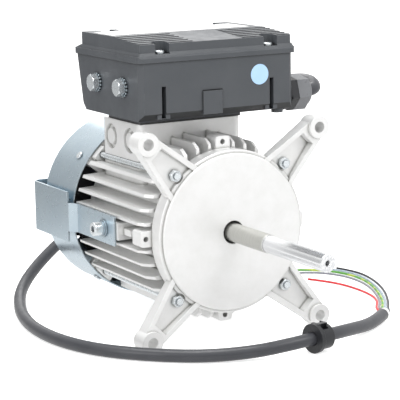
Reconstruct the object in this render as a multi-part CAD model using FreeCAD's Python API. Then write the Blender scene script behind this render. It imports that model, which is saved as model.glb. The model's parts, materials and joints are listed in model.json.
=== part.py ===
"""Convection oven fan motor with a terminal and electronics box, a gland and a supply cable.

Millimetres. +Y runs along the shaft from the flange to the fan cowl, so the shaft points to -Y. +Z is up and
+X is the gland side. The origin lies on the shaft axis in the plane of the four flange bosses.
"""
import FreeCAD, Part
import math
import os
from FreeCAD import Vector

# Flange mounting
boss_spacing = 180.0
boss_radius = 10.5
boss_hole_radius = 5.25
boss_length = 18.0
boss_center = boss_spacing / 2.0
boss_circle_radius = boss_center * math.sqrt(2.0)

# Front flange casting
rib_face_y = 2.5
disc_face_y = 7.5
disc_face_radius = 73.0
disc_radius = 76.0
web_floor_y = 14.0
flange_back_y = 25.0
disc_edge_chamfer = 1.2
disc_step_depth = 2.8
disc_rim_chamfer = 0.8
disc_plate_thickness = 6.0
rear_pocket_chamfer = 3.0
arm_root_radius = 60.0
arm_root_half_width = 22.0
arm_tip_half_width = 9.5
arm_rib_thickness = 4.5
arm_pocket_end = 113.0
nut_pad_radius = 9.0
nut_notch_radius = 7.6
spigot_length = 5.0
spigot_wall = 6.0
hub_wall = 7.5
shaft_hole_radius = 10.8
seal_seat_radius = 15.0
seal_seat_depth = 5.5

# Clearances
fit_gap = 0.02
slide_gap = 0.05
loose_gap = 0.3
running_gap = 0.5

# Through bolts, M6, on one circle with the lugs of the housing
bolt_circle_radius = 81.7
bolt_radius = 3.0
bolt_hole_radius = 3.3
bolt_stud_end = 7.2
hex_flats = 10.0
nut_height = 5.0
bolt_head_height = 4.0

# Stator housing casting
housing_length = 140.0
housing_bore_radius = 60.0
housing_wall = 6.0
housing_rear_y = flange_back_y + housing_length
end_ring_radius = 72.0
end_ring_length = 5.0
fin_radius = 86.0
fin_pitch = 12.6
fin_root_thickness = 4.6
fin_tip_thickness = 2.2
fin_front_y = 27.0
fin_rear_y = housing_rear_y - 4.0
fin_front_drop = 5.0
fin_front_run = 8.0
top_fin_pairs = 3
side_fin_pairs = 4
lug_width = 15.0
lug_radius = 87.0
lug_length = 16.0
lug_hole_radius = 2.5
ear_radius = 8.0
ear_length = 9.0
pad_half_width = 8.0
pad_front_y = 68.0
pad_rear_y = housing_rear_y - 15.0
pad_nose_y = 54.0
pad_nose_half_width = 3.0
pad_nose_radius = 82.0
pad_radius = 88.0

# Pedestal cast on the housing
pedestal_center_x = -4.0
pedestal_width = 110.0
pedestal_front_y = 75.0
pedestal_rear_y = housing_rear_y - 10.0
pedestal_length = pedestal_rear_y - pedestal_front_y
pedestal_top_z = 96.0
pedestal_side_wall = 13.0
pedestal_end_wall = 7.0
pedestal_roof = 6.0
pedestal_corner_radius = 9.0
pedestal_floor_z = 70.0
lead_hole_radius = 9.0
knockout_radius = 12.0
knockout_groove = 4.5
knockout_depth = 3.5
knockout_z = 79.0
knockout_pitch = 0.475 * pedestal_length

# Bearings: front 20 x 47 x 14, rear 17 x 40 x 12
front_bearing = {"bore": 10.0, "outer": 23.5, "width": 14.0, "ball": 3.97, "pitch": 16.75, "count": 8}
rear_bearing = {"bore": 8.5, "outer": 20.0, "width": 12.0, "ball": 3.37, "pitch": 14.25, "count": 8}
ring_wall_share = 0.27
cage_band = 2.0
cage_edge = 0.8
front_bearing_y = 17.0
rear_bearing_y = housing_rear_y
shield_thickness = 0.6
preload_height = 1.2

# Shaft
shaft_tip_y = -146.0
seat_radius = 8.0
seat_length = 92.0
neck_radius = 8.6
neck_chamfer = 0.4
root_radius = front_bearing["bore"]
groove_width = 2.0
groove_depth = 0.7
shaft_chamfer = 0.8
shoulder_radius = 12.5
shoulder_length = 5.0
rotor_seat_radius = 14.0
fan_seat_radius = 7.0
fan_stub_length = 54.0
shaft_rear_y = housing_rear_y + fan_stub_length
tapping_radius = 2.1
tapping_depth = 14.0
centre_chamfer_radius = 2.9

# Electrical core
stack_front_y = flange_back_y + 25.0
stack_rear_y = housing_rear_y - 35.0
lead_hole_y = stack_rear_y + 12.0
rotor_radius = 32.5
stator_slot_count = 24
slot_inner_radius = 35.0
slot_outer_radius = 50.0
slot_width = 4.5
overhang_length = 15.0
overhang_outer_radius = 55.0
rotor_bar_count = 16
rotor_bar_radius = 2.0
rotor_bar_circle = 28.0
end_ring_height = 6.0
end_ring_inner_radius = 21.0

# Rear end shield
shield_plate_thickness = 6.0
shield_hub_radius = 27.0
shield_rear_y = housing_rear_y + 17.0
shield_ear_span = 26.0
shield_ear_depth = 22.0
cowl_screw_angle = 52.0
cowl_screw_y = housing_rear_y + 17.0

# Fan and cowl
fan_hub_radius = 13.0
fan_front_y = housing_rear_y + 24.0
fan_hub_length = 24.0
fan_radius = 76.0
fan_blade_count = 9
fan_blade_thickness = 2.2
fan_blade_width = 26.0
fan_blade_bevel = (12.0, 8.0)
fan_disc_thickness = 2.5
fan_disc_radius = 74.0
circlip_thickness = 1.0
circlip_radius = 10.0
circlip_groove_radius = 6.6
cowl_radius = 88.0
cowl_wall = 1.2
cowl_front_y = housing_rear_y - 1.0
cowl_length = 68.0
cowl_rear_y = cowl_front_y + cowl_length
cowl_corner_radius = 5.0
cowl_slot_count = 20
cowl_slot_width = 4.0
cowl_slot_rings = [(18.0, 36.0), (42.0, 66.0)]
cowl_screw_radius = 2.0
cowl_screw_length = 9.0
cowl_screw_head_radius = 3.8
cowl_screw_head_height = 2.4

# Strap round the cowl
strap_thickness = 2.0
strap_front_y = 72.0
strap_joggle_y = housing_rear_y - 16.0
strap_joggle_end_y = housing_rear_y - 8.0
strap_outer_x = 94.0
strap_web_gap = 6.0
strap_web_y = cowl_rear_y + strap_web_gap
strap_bend_radius = 6.0
strap_front_height = 28.0
strap_rear_height = 49.0
strap_screw_y = 93.0
strap_screw_radius = 4.0
strap_screw_hole_radius = 4.5
strap_screw_length = 18.0
cap_head_radius = 6.5
cap_head_height = 8.0
cap_socket_flats = 6.0
cap_socket_depth = 4.0
flat_washer_radius = 8.0
flat_washer_thickness = 1.6
spring_washer_radius = 6.8
spring_washer_thickness = 2.0

# Box base
box_half_length = 81.0
box_front_y = 30.5
box_rear_top_y = pedestal_rear_y + 2.0
box_rear_low_y = pedestal_rear_y - 8.0
box_top_z = 158.0
box_band_z = 111.6
box_bottom_z = 105.5
box_band_inset = 5.0
box_rear_inset = 6.0
box_wall = 3.0
box_corner = 4.0
neck_margin = 1.0
neck_rear_inset = 15.0
neck_end_wall = 5.0
gasket_thickness = 1.5
fixing_radius = 2.5
fixing_head_radius = 4.3
fixing_head_height = 3.0
fixing_length = 24.0
fixing_y = (pedestal_front_y + 0.25 * pedestal_length, pedestal_front_y + 0.45 * pedestal_length)
gusset_length = 12.0
gusset_width = 50.0
slot_x = box_half_length - 24.0
slot_low_z = 107.0
slot_high_z = 136.0
slot_breadth = 4.4
slot_depth = 9.0
pillar_breadth = 13.0
pillar_depth = 14.0
tab_left_x = -17.0
tab_right_x = 3.0
tab_low_z = 107.5
tab_high_z = 129.0
tab_height = 1.6
knob_x = box_half_length - 11.0
knob_radius = 5.5
knob_drop = 4.0
knob_y = 42.0

# Lid
lid_half_length = box_half_length + 2.0
lid_front_y = 29.0
lid_rear_y = box_rear_top_y + 3.0
lid_flange_height = 5.8
lid_ledge = 3.0
lid_raised_half_length = box_half_length - 1.0
lid_raised_front_y = 32.0
lid_raised_rear_y = box_rear_top_y - 7.0
lid_front_top_z = 174.3
lid_flat_top_z = 178.6
lid_flat_front_y = 86.0
lid_wall = 2.6
lid_corner = 4.0
lid_edge_chamfer = 1.5
step_count = 6
step_front_y = 35.0
left_steps = (-lid_raised_half_length, -24.0)
right_steps = (29.0, lid_raised_half_length)
lid_screw_x = slot_x
lid_screw_front_y = 38.5
lid_screw_rear_y = box_rear_low_y - 8.0
lid_screw_head_radius = 5.0
lid_screw_head_height = 3.0
lid_screw_radius = 2.0
lid_screw_length = 20.0
lid_notch_radius = 7.3
lid_notch_run = 20.0
lid_notch_floor_z = 165.2

# Earth bolts on the left end of the box, M10
earth_bolt_y = (63.0, 115.0)
earth_bolt_z = 134.0
earth_bolt_radius = 5.0
earth_bolt_flats = 14.0
earth_head_height = 6.4
earth_bolt_length = 16.0
tooth_washer_radius = 9.0
tooth_washer_thickness = 1.8
tooth_count = 16
tooth_depth = 2.2

# Drive electronics in the box
board_front_y = 50.0
board_rear_y = pedestal_rear_y - 29.0
board_depth = board_rear_y - board_front_y
board_half_length = box_half_length - 19.0
board_thickness = 1.6
board_z = 112.0
board_post_radius = 3.0
board_post_inset = 5.0
capacitor_radius = board_half_length / 6.0
capacitor_height = 34.0
capacitor_x = (-0.76 * board_half_length, -0.38 * board_half_length, 0.0)
capacitor_y = 68.0
module_length = 0.575 * board_half_length
module_width = 0.315 * board_depth
module_height = 16.0
module_x = 0.667 * board_half_length
module_y = board_front_y + 0.815 * board_depth
module_fin_height = 12.0
module_fin_pitch = 5.0
module_fin_thickness = 2.0
terminal_thickness = 14.0
terminal_length = 0.58 * board_depth
terminal_height = 16.0
terminal_x = 0.41 * board_half_length
terminal_y = board_front_y + 0.316 * board_depth
terminal_ways = 5
terminal_well_radius = 2.4
terminal_well_depth = 8.0
terminal_well_height = 8.0

# Cable gland, M16, on the right end of the box
gland_y = 55.0
gland_z = 117.0
gland_thread_radius = 8.0
gland_bore_radius = 6.8
gland_collar_radius = 16.0
gland_collar_length = 5.0
gland_flats = 30.0
gland_hex_turn = 18.0
gland_hex_length = 7.0
gland_spigot_radius = 11.5
gland_spigot_recess = 3.0
gland_nut_gap = 0.6
gland_nut_length = 13.0
gland_dome_length = 4.0
gland_dome_radius = 14.0
gland_dome_rounding = 3.6
gland_inner_length = 8.0
gland_locknut_thickness = 4.5
gland_locknut_flats = 20.0
gland_seal_length = 20.0
gland_seal_recess = 2.6

# Cable, its bushing and its cores
cable_radius = 6.0
bushing_flange_radius = 13.5
bushing_flange_length = 4.0
bushing_body_radius = 11.5
bushing_body_length = 13.0
bushing_bore_gap = 0.3
bushing_pocket_length = 7.0
bushing_pocket_width = 5.0
bushing_pocket_depth = 3.5
bushing_pocket_angles = (28.0, -12.0)
bushing_latch_height = 2.0
core_radius = 1.15
core_circle = 3.4
core_count = 5
core_end_gap = 0.3

# Route of the cable, from the gland to its bushing
cable_to_bushing = [
    (box_half_length + 23.0, gland_y, gland_z),
    (box_half_length + 40.0, gland_y, gland_z),
    (128.0, 66.0, 121.5),
    (132.0, 84.0, 123.5),
    (134.0, 108.0, 121.5),
    (132.0, 142.0, 116.0),
    (128.0, 188.0, 104.0),
    (120.0, 236.0, 80.0),
    (99.0, 284.0, 42.0),
    (60.0, 312.0, 2.0),
    (8.0, 316.0, -34.0),
    (-44.0, 301.0, -60.0),
    (-84.0, 274.0, -77.0),
    (-112.0, 243.0, -88.5),
    (-130.0, 205.0, -94.0),
    (-144.0, 163.0, -94.5),
    (-152.0, 117.0, -94.5),
    (-149.0, 66.0, -94.5),
    (-132.0, 20.0, -94.5),
    (-101.0, -18.0, -94.5),
    (-63.0, -48.0, -94.5),
    (-22.0, -65.0, -92.5),
    (11.0, -73.0, -88.5),
    (27.0, -74.5, -87.0),
]

# Route of the cable from its bushing to its cut end
cable_from_bushing = [
    (59.0, -69.0, -87.0),
    (86.0, -58.0, -89.5),
    (113.0, -43.0, -93.5),
    (134.0, -29.5, -94.5),
    (150.0, -17.0, -94.5),
]
cable_route = cable_to_bushing + cable_from_bushing
bushing_offset = 5.0

# Routes of the cores over the floor, outside to inside, from where they leave the bundle
bundle_direction = (0.578, 0.816)
bundle_lengths = (14.0, 40.0)
floor_core_z = -99.35
floor_core_pitch = 3.0
core_routes = {
    "wire_black": [(196.5, 36.8), (217.5, 71.3), (233.0, 106.0), (242.0, 138.0), (243.0, 163.0),
                   (236.0, 185.0)],
    "wire_blue": [(194.3, 38.3), (212.8, 70.8), (227.0, 104.0), (235.5, 134.0), (236.5, 158.0),
                  (230.0, 180.0), (216.0, 197.0)],
    "wire_green_yellow": [(192.1, 39.9), (208.6, 70.2), (222.0, 100.0), (229.5, 128.0), (230.0, 154.0),
                          (222.0, 178.0), (206.0, 196.0), (189.0, 205.0)],
    "wire_grey": [(189.9, 41.5), (204.0, 68.0), (216.0, 96.0), (222.5, 123.0), (222.0, 149.0), (214.0, 170.0),
                  (201.0, 184.0), (188.0, 190.0)],
    "wire_red": [(187.7, 43.0), (196.5, 63.0), (200.0, 88.0), (199.5, 114.0), (194.0, 138.0), (182.0, 160.0)],
}

# Leads from the windings up to the board, in the Y-Z plane, with Y from the middle of their hole
winding_lead_x = (-7.0, -3.0, 1.0)
winding_lead_radius = 1.3
winding_lead_route = [
    (0.0, 55.4),
    (0.0, 69.0),
    (-4.0, 81.0),
    (-10.5, 90.0),
    (-12.4, 101.0),
    (-12.4, 112.0),
    (-16.0, 120.5),
    (-24.0, 121.5),
    (-28.0, 114.6),
]


def cyl_y(radius, start, end, x=0.0, z=0.0):
    """A cylinder along Y from start to end."""
    return Part.makeCylinder(radius, end - start, Vector(x, start, z), Vector(0, 1, 0))


def ring_y(outer, inner, start, end, x=0.0, z=0.0):
    """A ring along Y."""
    return cyl_y(outer, start, end, x, z).cut(cyl_y(inner, start - 1.0, end + 1.0, x, z))


def cyl_x(radius, start, end, y=0.0, z=0.0):
    """A cylinder along X from start to end."""
    return Part.makeCylinder(radius, end - start, Vector(start, y, z), Vector(1, 0, 0))


def cyl_z(radius, start, end, x=0.0, y=0.0):
    """A cylinder along Z from start to end."""
    return Part.makeCylinder(radius, end - start, Vector(x, y, start), Vector(0, 0, 1))


def block(x0, x1, y0, y1, z0, z1):
    """A box between two corners."""
    return Part.makeBox(x1 - x0, y1 - y0, z1 - z0, Vector(x0, y0, z0))


def polygon(points):
    """A flat face through a closed list of points."""
    vectors = [Vector(*p) for p in points]
    return Part.Face(Part.makePolygon(vectors + vectors[:1]))


def turned(profile, y_offset=0.0):
    """A solid turned about the Y axis from a list of (radius, y)."""
    face = polygon([(r, y + y_offset, 0.0) for r, y in profile])
    return face.revolve(Vector(0, 0, 0), Vector(0, 1, 0), 360.0)


def prism_y(points, start, end):
    """A prism along Y from a list of (x, z)."""
    return polygon([(x, start, z) for x, z in points]).extrude(Vector(0, end - start, 0))


def prism_x(points, start, end):
    """A prism along X from a list of (y, z)."""
    return polygon([(start, y, z) for y, z in points]).extrude(Vector(end - start, 0, 0))


def turn_y(shape, degrees):
    """A copy turned about the shaft axis, by the right hand about +Y."""
    copy = shape.copy()
    copy.rotate(Vector(0, 0, 0), Vector(0, 1, 0), degrees)
    return copy


def mirror_x(shape):
    """A copy mirrored left to right."""
    return shape.mirror(Vector(0, 0, 0), Vector(1, 0, 0))


def hexagon(flats):
    """The corners of a hexagon of a given width across flats, corners up and down."""
    corner = flats / math.sqrt(3.0)
    angles = [math.radians(30 + 60 * i) for i in range(6)]
    return [(corner * math.cos(a), corner * math.sin(a)) for a in angles]


def joined(shapes):
    """All shapes fused in one solid, with seams taken out."""
    result = shapes[0]
    if len(shapes) > 1:
        result = result.multiFuse(shapes[1:])
    return result.removeSplitter()


def group(shapes):
    """Separate solids kept together in one node."""
    solids = []
    for shape in shapes:
        solids.extend(shape.Solids)
    return Part.makeCompound(solids)


def four_corners():
    """The turns that carry a piece on the +X axis to the four diagonals."""
    return [45.0 + 90.0 * i for i in range(4)]


def save(name, shape):
    """Writes one node and reports a bad one."""
    if not shape.isValid():
        print("not valid:", name)
    shape.exportStep(os.path.join("parts", name + ".step"))
    print(name, len(shape.Solids), "solids", round(shape.Volume / 1000.0, 2), "cm3")


def front_flange():
    """End shield: disc with a stepped rim, bearing hub, spigot and four ribbed arms."""
    hub_bore = front_bearing["outer"] + fit_gap
    hub_outer = hub_bore + hub_wall
    hub_end = front_bearing_y + front_bearing["width"] + 1.0
    plate_back = disc_face_y + disc_plate_thickness
    spigot_outer = housing_bore_radius - slide_gap
    spigot_inner = spigot_outer - spigot_wall
    step = rear_pocket_chamfer
    step_y = disc_face_y + disc_step_depth
    disc = turned([
        (shaft_hole_radius, disc_face_y),
        (disc_face_radius - disc_edge_chamfer, disc_face_y),
        (disc_face_radius, disc_face_y + disc_edge_chamfer),
        (disc_face_radius, step_y),
        (disc_radius - disc_rim_chamfer, step_y),
        (disc_radius, step_y + disc_rim_chamfer),
        (disc_radius, flange_back_y),
        (spigot_outer, flange_back_y),
        (spigot_outer, flange_back_y + spigot_length),
        (spigot_inner, flange_back_y + spigot_length),
        (spigot_inner, plate_back + step),
        (spigot_inner - step, plate_back),
        (hub_outer + step, plate_back),
        (hub_outer, plate_back + step),
        (hub_outer, hub_end),
        (hub_bore, hub_end),
        (hub_bore, front_bearing_y),
        (seal_seat_radius, front_bearing_y),
        (seal_seat_radius, front_bearing_y - seal_seat_depth),
        (shaft_hole_radius, front_bearing_y - seal_seat_depth),
    ])
    pieces = [disc]
    cuts = []
    for degrees in four_corners():
        pieces.append(turn_y(flange_arm(), degrees))
        cuts.append(turn_y(cyl_y(bolt_hole_radius, 0.0, flange_back_y + 1.0, x=bolt_circle_radius), degrees))
        cuts.append(turn_y(cyl_y(nut_notch_radius, 0.0, web_floor_y, x=bolt_circle_radius), degrees))
        cuts.append(turn_y(cyl_y(boss_hole_radius, -1.0, boss_length + 1.0, x=boss_circle_radius), degrees))
    body = joined(pieces)
    return body.cut(Part.makeCompound(cuts)).removeSplitter()


def flange_arm():
    """One arm on the +X axis: tapered plate, pocket between two edge ribs, boss and bolt pad."""
    plan = [
        (arm_root_radius, -arm_root_half_width),
        (boss_circle_radius, -arm_tip_half_width),
        (boss_circle_radius, arm_tip_half_width),
        (arm_root_radius, arm_root_half_width),
    ]
    side = [
        (arm_root_radius, disc_face_y + 1.5),
        (disc_radius, disc_face_y + 1.5),
        (boss_circle_radius, rib_face_y),
        (boss_circle_radius, boss_length),
        (arm_root_radius, boss_length),
    ]
    plate = prism_y(plan, 0.0, boss_length)
    slab = polygon([(x, y, -boss_radius * 3) for x, y in side]).extrude(Vector(0, 0, boss_radius * 6))
    taper = (arm_root_half_width - arm_tip_half_width) / (boss_circle_radius - arm_root_radius)
    pocket_end_half = arm_root_half_width - taper * (arm_pocket_end - arm_root_radius) - arm_rib_thickness
    pocket = prism_y([
        (arm_root_radius - 5.0, -(arm_root_half_width - arm_rib_thickness)),
        (arm_pocket_end, -pocket_end_half),
        (arm_pocket_end, pocket_end_half),
        (arm_root_radius - 5.0, arm_root_half_width - arm_rib_thickness),
    ], 0.0, web_floor_y)
    web = plate.common(slab).cut(pocket)
    web = web.cut(cyl_y(disc_face_radius - 1.0, -1.0, boss_length + 1.0))
    boss = cyl_y(boss_radius, 0.0, boss_length, x=boss_circle_radius)
    pad = cyl_y(nut_pad_radius, web_floor_y, flange_back_y, x=bolt_circle_radius)
    return joined([web, boss, pad.cut(cyl_y(disc_face_radius, 0.0, flange_back_y))])


def shaft_seal():
    """Rubber lip seal in the front flange."""
    outer = seal_seat_radius - fit_gap
    start = front_bearing_y - seal_seat_depth + fit_gap
    end = front_bearing_y - fit_gap
    lip = neck_radius + slide_gap
    return turned([
        (lip, start + 1.6),
        (lip + 0.9, start + 0.4),
        (outer - 1.6, start),
        (outer, start + 0.6),
        (outer, end),
        (outer - 1.6, end),
        (outer - 1.6, start + 2.2),
        (lip + 1.3, start + 2.2),
    ])


def fin_envelope():
    """The turned shape that all fins end on, with a sloping front end."""
    return turned([
        (housing_bore_radius, fin_front_y),
        (fin_radius - fin_front_drop, fin_front_y),
        (fin_radius, fin_front_y + fin_front_run),
        (fin_radius, fin_rear_y),
        (housing_bore_radius, fin_rear_y),
    ])


def tapered_fin(offset):
    """One upright fin above the bore, thinner towards its tip."""
    root = fin_root_thickness / 2.0
    tip = fin_tip_thickness / 2.0
    inner = housing_bore_radius + housing_wall / 2.0
    start = math.sqrt(inner ** 2 - offset ** 2)
    reach = fin_radius + 1.0
    return prism_y([
        (offset - root, start),
        (offset + root, start),
        (offset + tip, reach),
        (offset - tip, reach),
    ], fin_front_y, fin_rear_y)


def housing_fins():
    """Upright fins above and below, level fins on both sides."""
    fins = []
    for pairs, turns in ((top_fin_pairs, (0.0, 180.0)), (side_fin_pairs, (90.0, 270.0))):
        for k in range(1, pairs + 1):
            for offset in (-k * fin_pitch, k * fin_pitch):
                fin = tapered_fin(offset)
                fins += [turn_y(fin, degrees) for degrees in turns]
    return Part.makeCompound(fins).common(fin_envelope())


def housing_lug():
    """Rectangular lug on the +X axis with rounded outer corners and a tapped hole to the front."""
    half = lug_width / 2.0
    inner = housing_bore_radius + housing_wall / 2.0
    lug = block(inner, lug_radius, flange_back_y, flange_back_y + lug_length, -half, half)
    edges = [e for e in lug.Edges if abs(e.BoundBox.XMin - lug_radius) < 0.01 and e.BoundBox.YLength > 1.0]
    lug = lug.makeFillet(3.0, edges)
    return lug.cut(cyl_y(lug_hole_radius, flange_back_y - 1.0, flange_back_y + lug_length - 3.0,
                         x=bolt_circle_radius))


def bracket_pad():
    """Pad on the -X side that carries the strap, with a narrow nose to the front."""
    inner = housing_bore_radius + housing_wall / 2.0
    pad = block(-pad_radius, -inner, pad_front_y, pad_rear_y, -pad_half_width, pad_half_width)
    nose = block(-pad_nose_radius, -inner, pad_nose_y, pad_front_y, -pad_nose_half_width, pad_nose_half_width)
    rib = block(-pad_nose_radius + 4.0, -inner, flange_back_y + lug_length, pad_nose_y, -2.0, 2.0)
    hole = cyl_x(strap_screw_radius + fit_gap, -pad_radius - 1.0, -inner + 1.0, y=strap_screw_y)
    return joined([pad, nose, rib]).cut(hole)


def pedestal():
    """Hollow box seat on top of the housing with knock-out rings in both side walls."""
    half = pedestal_width / 2.0
    x0 = pedestal_center_x - half
    x1 = pedestal_center_x + half
    inner = housing_bore_radius + housing_wall / 2.0
    body = block(x0, x1, pedestal_front_y, pedestal_rear_y, 0.0, pedestal_top_z)
    upright = [e for e in body.Edges if e.BoundBox.ZLength > 1.0]
    body = body.makeFillet(pedestal_corner_radius, upright)
    body = body.cut(cyl_y(inner, 0.0, housing_rear_y + 10.0))
    body = body.cut(block(x0 - 1, x1 + 1, pedestal_front_y - 1, pedestal_rear_y + 1, -1.0, inner * 0.55))
    mouth = neck_opening()
    body = body.cut(block(mouth[0], mouth[1], mouth[2], pedestal_rear_y - pedestal_end_wall,
                          pedestal_floor_z, pedestal_top_z - pedestal_roof))
    body = body.cut(block(*mouth, pedestal_floor_z, pedestal_top_z + 1.0))
    for x, y in fixing_places():
        body = body.cut(cyl_z(fixing_radius + fit_gap, fixing_end_z() - 1.0, pedestal_top_z + 1.0, x=x, y=y))
    rings = []
    middle_y = (pedestal_front_y + pedestal_rear_y) / 2.0
    for sign in (-1, 1):
        y = middle_y + sign * knockout_pitch / 2.0
        left = cyl_x(knockout_radius, x0 - 1.0, x0 + knockout_depth, y, knockout_z)
        rings.append(left.cut(cyl_x(knockout_radius - knockout_groove, x0 - 2.0, x0 + 5.0, y, knockout_z)))
        right = cyl_x(knockout_radius, x1 - knockout_depth, x1 + 1.0, y, knockout_z)
        rings.append(right.cut(cyl_x(knockout_radius - knockout_groove, x1 - 5.0, x1 + 2.0, y, knockout_z)))
    return body.cut(Part.makeCompound(rings))


def stator_housing():
    """Finned die-cast body with end rings, ears, lugs, strap pads and the pedestal."""
    outer = housing_bore_radius + housing_wall
    tube = cyl_y(outer, flange_back_y, housing_rear_y)
    front_ring = cyl_y(end_ring_radius, flange_back_y, flange_back_y + end_ring_length)
    pieces = [tube, front_ring, housing_fins(), pedestal()]
    cuts = [cyl_y(housing_bore_radius, flange_back_y - 1.0, housing_rear_y + 1.0)]
    for degrees in four_corners():
        for start, reach in ((flange_back_y, lug_radius + ear_radius),
                             (housing_rear_y - ear_length, fin_radius)):
            ear = cyl_y(ear_radius, start, start + ear_length, x=bolt_circle_radius)
            neck = block(outer - 3.0, bolt_circle_radius, start, start + ear_length, -ear_radius, ear_radius)
            ear = ear.fuse(neck).common(cyl_y(reach, start - 1.0, start + ear_length + 1.0))
            pieces.append(turn_y(ear, degrees))
        cuts.append(turn_y(cyl_y(bolt_hole_radius, 0.0, housing_rear_y + 1.0, x=bolt_circle_radius), degrees))
    for degrees in (0.0, 90.0, 180.0, 270.0):
        pieces.append(turn_y(housing_lug(), degrees))
    pieces.append(bracket_pad())
    pieces.append(mirror_x(bracket_pad()))
    cuts.append(cyl_z(lead_hole_radius, 0.0, pedestal_floor_z + 1.0, x=pedestal_center_x, y=lead_hole_y))
    return joined(pieces).cut(Part.makeCompound(cuts)).removeSplitter()


def through_bolts():
    """Four long bolts, heads at the rear end shield."""
    head_y = housing_rear_y + shield_plate_thickness
    flats = [(x + bolt_circle_radius, z) for x, z in hexagon(hex_flats)]
    bolt = cyl_y(bolt_radius, bolt_stud_end, head_y, x=bolt_circle_radius)
    bolt = joined([bolt, prism_y(flats, head_y, head_y + bolt_head_height)])
    return group([turn_y(bolt, degrees) for degrees in four_corners()])


def through_nuts():
    """Four hex nuts in the arm webs, with chamfered corners."""
    corner = hex_flats / math.sqrt(3.0)
    front = web_floor_y - nut_height
    flats = [(x + bolt_circle_radius, z) for x, z in hexagon(hex_flats)]
    nut = prism_y(flats, front, web_floor_y)
    dome = Part.makeCone(corner - 0.9, corner + nut_height, nut_height + 0.9,
                         Vector(bolt_circle_radius, front, 0), Vector(0, 1, 0))
    nut = nut.common(dome).cut(cyl_y(bolt_radius + fit_gap, front - 1.0, web_floor_y + 1.0,
                                     x=bolt_circle_radius))
    return group([turn_y(nut, degrees) for degrees in four_corners()])


def bearing_ring_radii(size):
    """Inner ring outside and outer ring inside, from the bearing's own size."""
    wall = (size["outer"] - size["bore"]) * ring_wall_share
    return size["bore"] + wall, size["outer"] - wall


def bearing_groove(size, start):
    """The ball track as a full torus."""
    return Part.makeTorus(size["pitch"], size["ball"] + slide_gap, Vector(0, start + size["width"] / 2.0, 0),
                          Vector(0, 1, 0))


def bearing_outer(size, start):
    """Outer ring with its ball track."""
    inside = bearing_ring_radii(size)[1]
    ring = ring_y(size["outer"], inside, start, start + size["width"])
    return ring.cut(bearing_groove(size, start))


def bearing_inner(size, start):
    """Inner ring with its ball track."""
    outside = bearing_ring_radii(size)[0]
    ring = ring_y(outside, size["bore"] + fit_gap, start, start + size["width"])
    return ring.cut(bearing_groove(size, start))


def bearing_balls(size, start):
    """The ball set."""
    middle = start + size["width"] / 2.0
    ball = Part.makeSphere(size["ball"], Vector(size["pitch"], middle, 0))
    return group([turn_y(ball, 360.0 * i / size["count"]) for i in range(size["count"])])


def bearing_cage(size, start):
    """Cage band on the pitch circle with a drilled pocket for each ball."""
    middle = start + size["width"] / 2.0
    low, high = bearing_ring_radii(size)
    half = size["ball"] + loose_gap + cage_edge
    band = ring_y(size["pitch"] + cage_band / 2.0, size["pitch"] - cage_band / 2.0,
                  middle - half, middle + half)
    pocket = cyl_x(size["ball"] + loose_gap, low, high, y=middle)
    pockets = [turn_y(pocket, 360.0 * i / size["count"]) for i in range(size["count"])]
    return band.cut(Part.makeCompound(pockets))


def bearing_shields():
    """Thin closing rings of both bearings, set in their outer rings' ends."""
    shields = []
    for size, start in ((front_bearing, front_bearing_y), (rear_bearing, rear_bearing_y)):
        low, high = bearing_ring_radii(size)
        for y in (start + 0.3, start + size["width"] - 0.3 - shield_thickness):
            shields.append(ring_y(high - fit_gap, low + loose_gap, y, y + shield_thickness))
    return group(shields)


def preload_washer():
    """Conical spring washer between the rear bearing and its seat."""
    outer = rear_bearing["outer"] - 0.4
    inner = bearing_ring_radii(rear_bearing)[1] + 0.6
    start = rear_bearing_y + rear_bearing["width"]
    sheet = 0.5
    return turned([
        (inner, start + preload_height - sheet),
        (outer, start),
        (outer, start + sheet),
        (inner, start + preload_height),
    ])


def shaft():
    """Turned shaft from the impeller seat to the fan seat."""
    seat_end = shaft_tip_y + seat_length
    front_end = front_bearing_y + front_bearing["width"]
    clip_y = fan_front_y + fan_hub_length
    rear_bore = rear_bearing["bore"]
    body = turned([
        (0.0, shaft_tip_y),
        (seat_radius - shaft_chamfer, shaft_tip_y),
        (seat_radius, shaft_tip_y + shaft_chamfer),
        (seat_radius, seat_end - groove_width),
        (seat_radius - groove_depth, seat_end - groove_width),
        (seat_radius - groove_depth, seat_end),
        (neck_radius - neck_chamfer, seat_end),
        (neck_radius, seat_end + neck_chamfer),
        (neck_radius, front_bearing_y - root_radius + neck_radius),
        (root_radius, front_bearing_y),
        (root_radius, front_end),
        (shoulder_radius, front_end),
        (shoulder_radius, front_end + shoulder_length),
        (rotor_seat_radius, front_end + shoulder_length),
        (rotor_seat_radius, stack_rear_y + end_ring_height + shoulder_length),
        (rear_bore + 2.5, stack_rear_y + end_ring_height + shoulder_length),
        (rear_bore + 2.5, rear_bearing_y),
        (rear_bore, rear_bearing_y),
        (rear_bore, rear_bearing_y + rear_bearing["width"] + 3.0),
        (fan_seat_radius, rear_bearing_y + rear_bearing["width"] + 3.0),
        (fan_seat_radius, clip_y),
        (circlip_groove_radius, clip_y),
        (circlip_groove_radius, clip_y + circlip_thickness + fit_gap * 2),
        (fan_seat_radius, clip_y + circlip_thickness + fit_gap * 2),
        (fan_seat_radius, shaft_rear_y - shaft_chamfer),
        (fan_seat_radius - shaft_chamfer, shaft_rear_y),
        (0.0, shaft_rear_y),
    ])
    tapping = cyl_y(tapping_radius, shaft_tip_y - 1.0, shaft_tip_y + tapping_depth)
    mouth = Part.makeCone(centre_chamfer_radius, tapping_radius, 1.2, Vector(0, shaft_tip_y, 0),
                          Vector(0, 1, 0))
    return body.cut(tapping).cut(mouth)


def bar_tools(radius, start, end):
    """Rods at the rotor bar places."""
    rod = cyl_y(radius, start, end, x=rotor_bar_circle)
    return [turn_y(rod, 360.0 * i / rotor_bar_count) for i in range(rotor_bar_count)]


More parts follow.
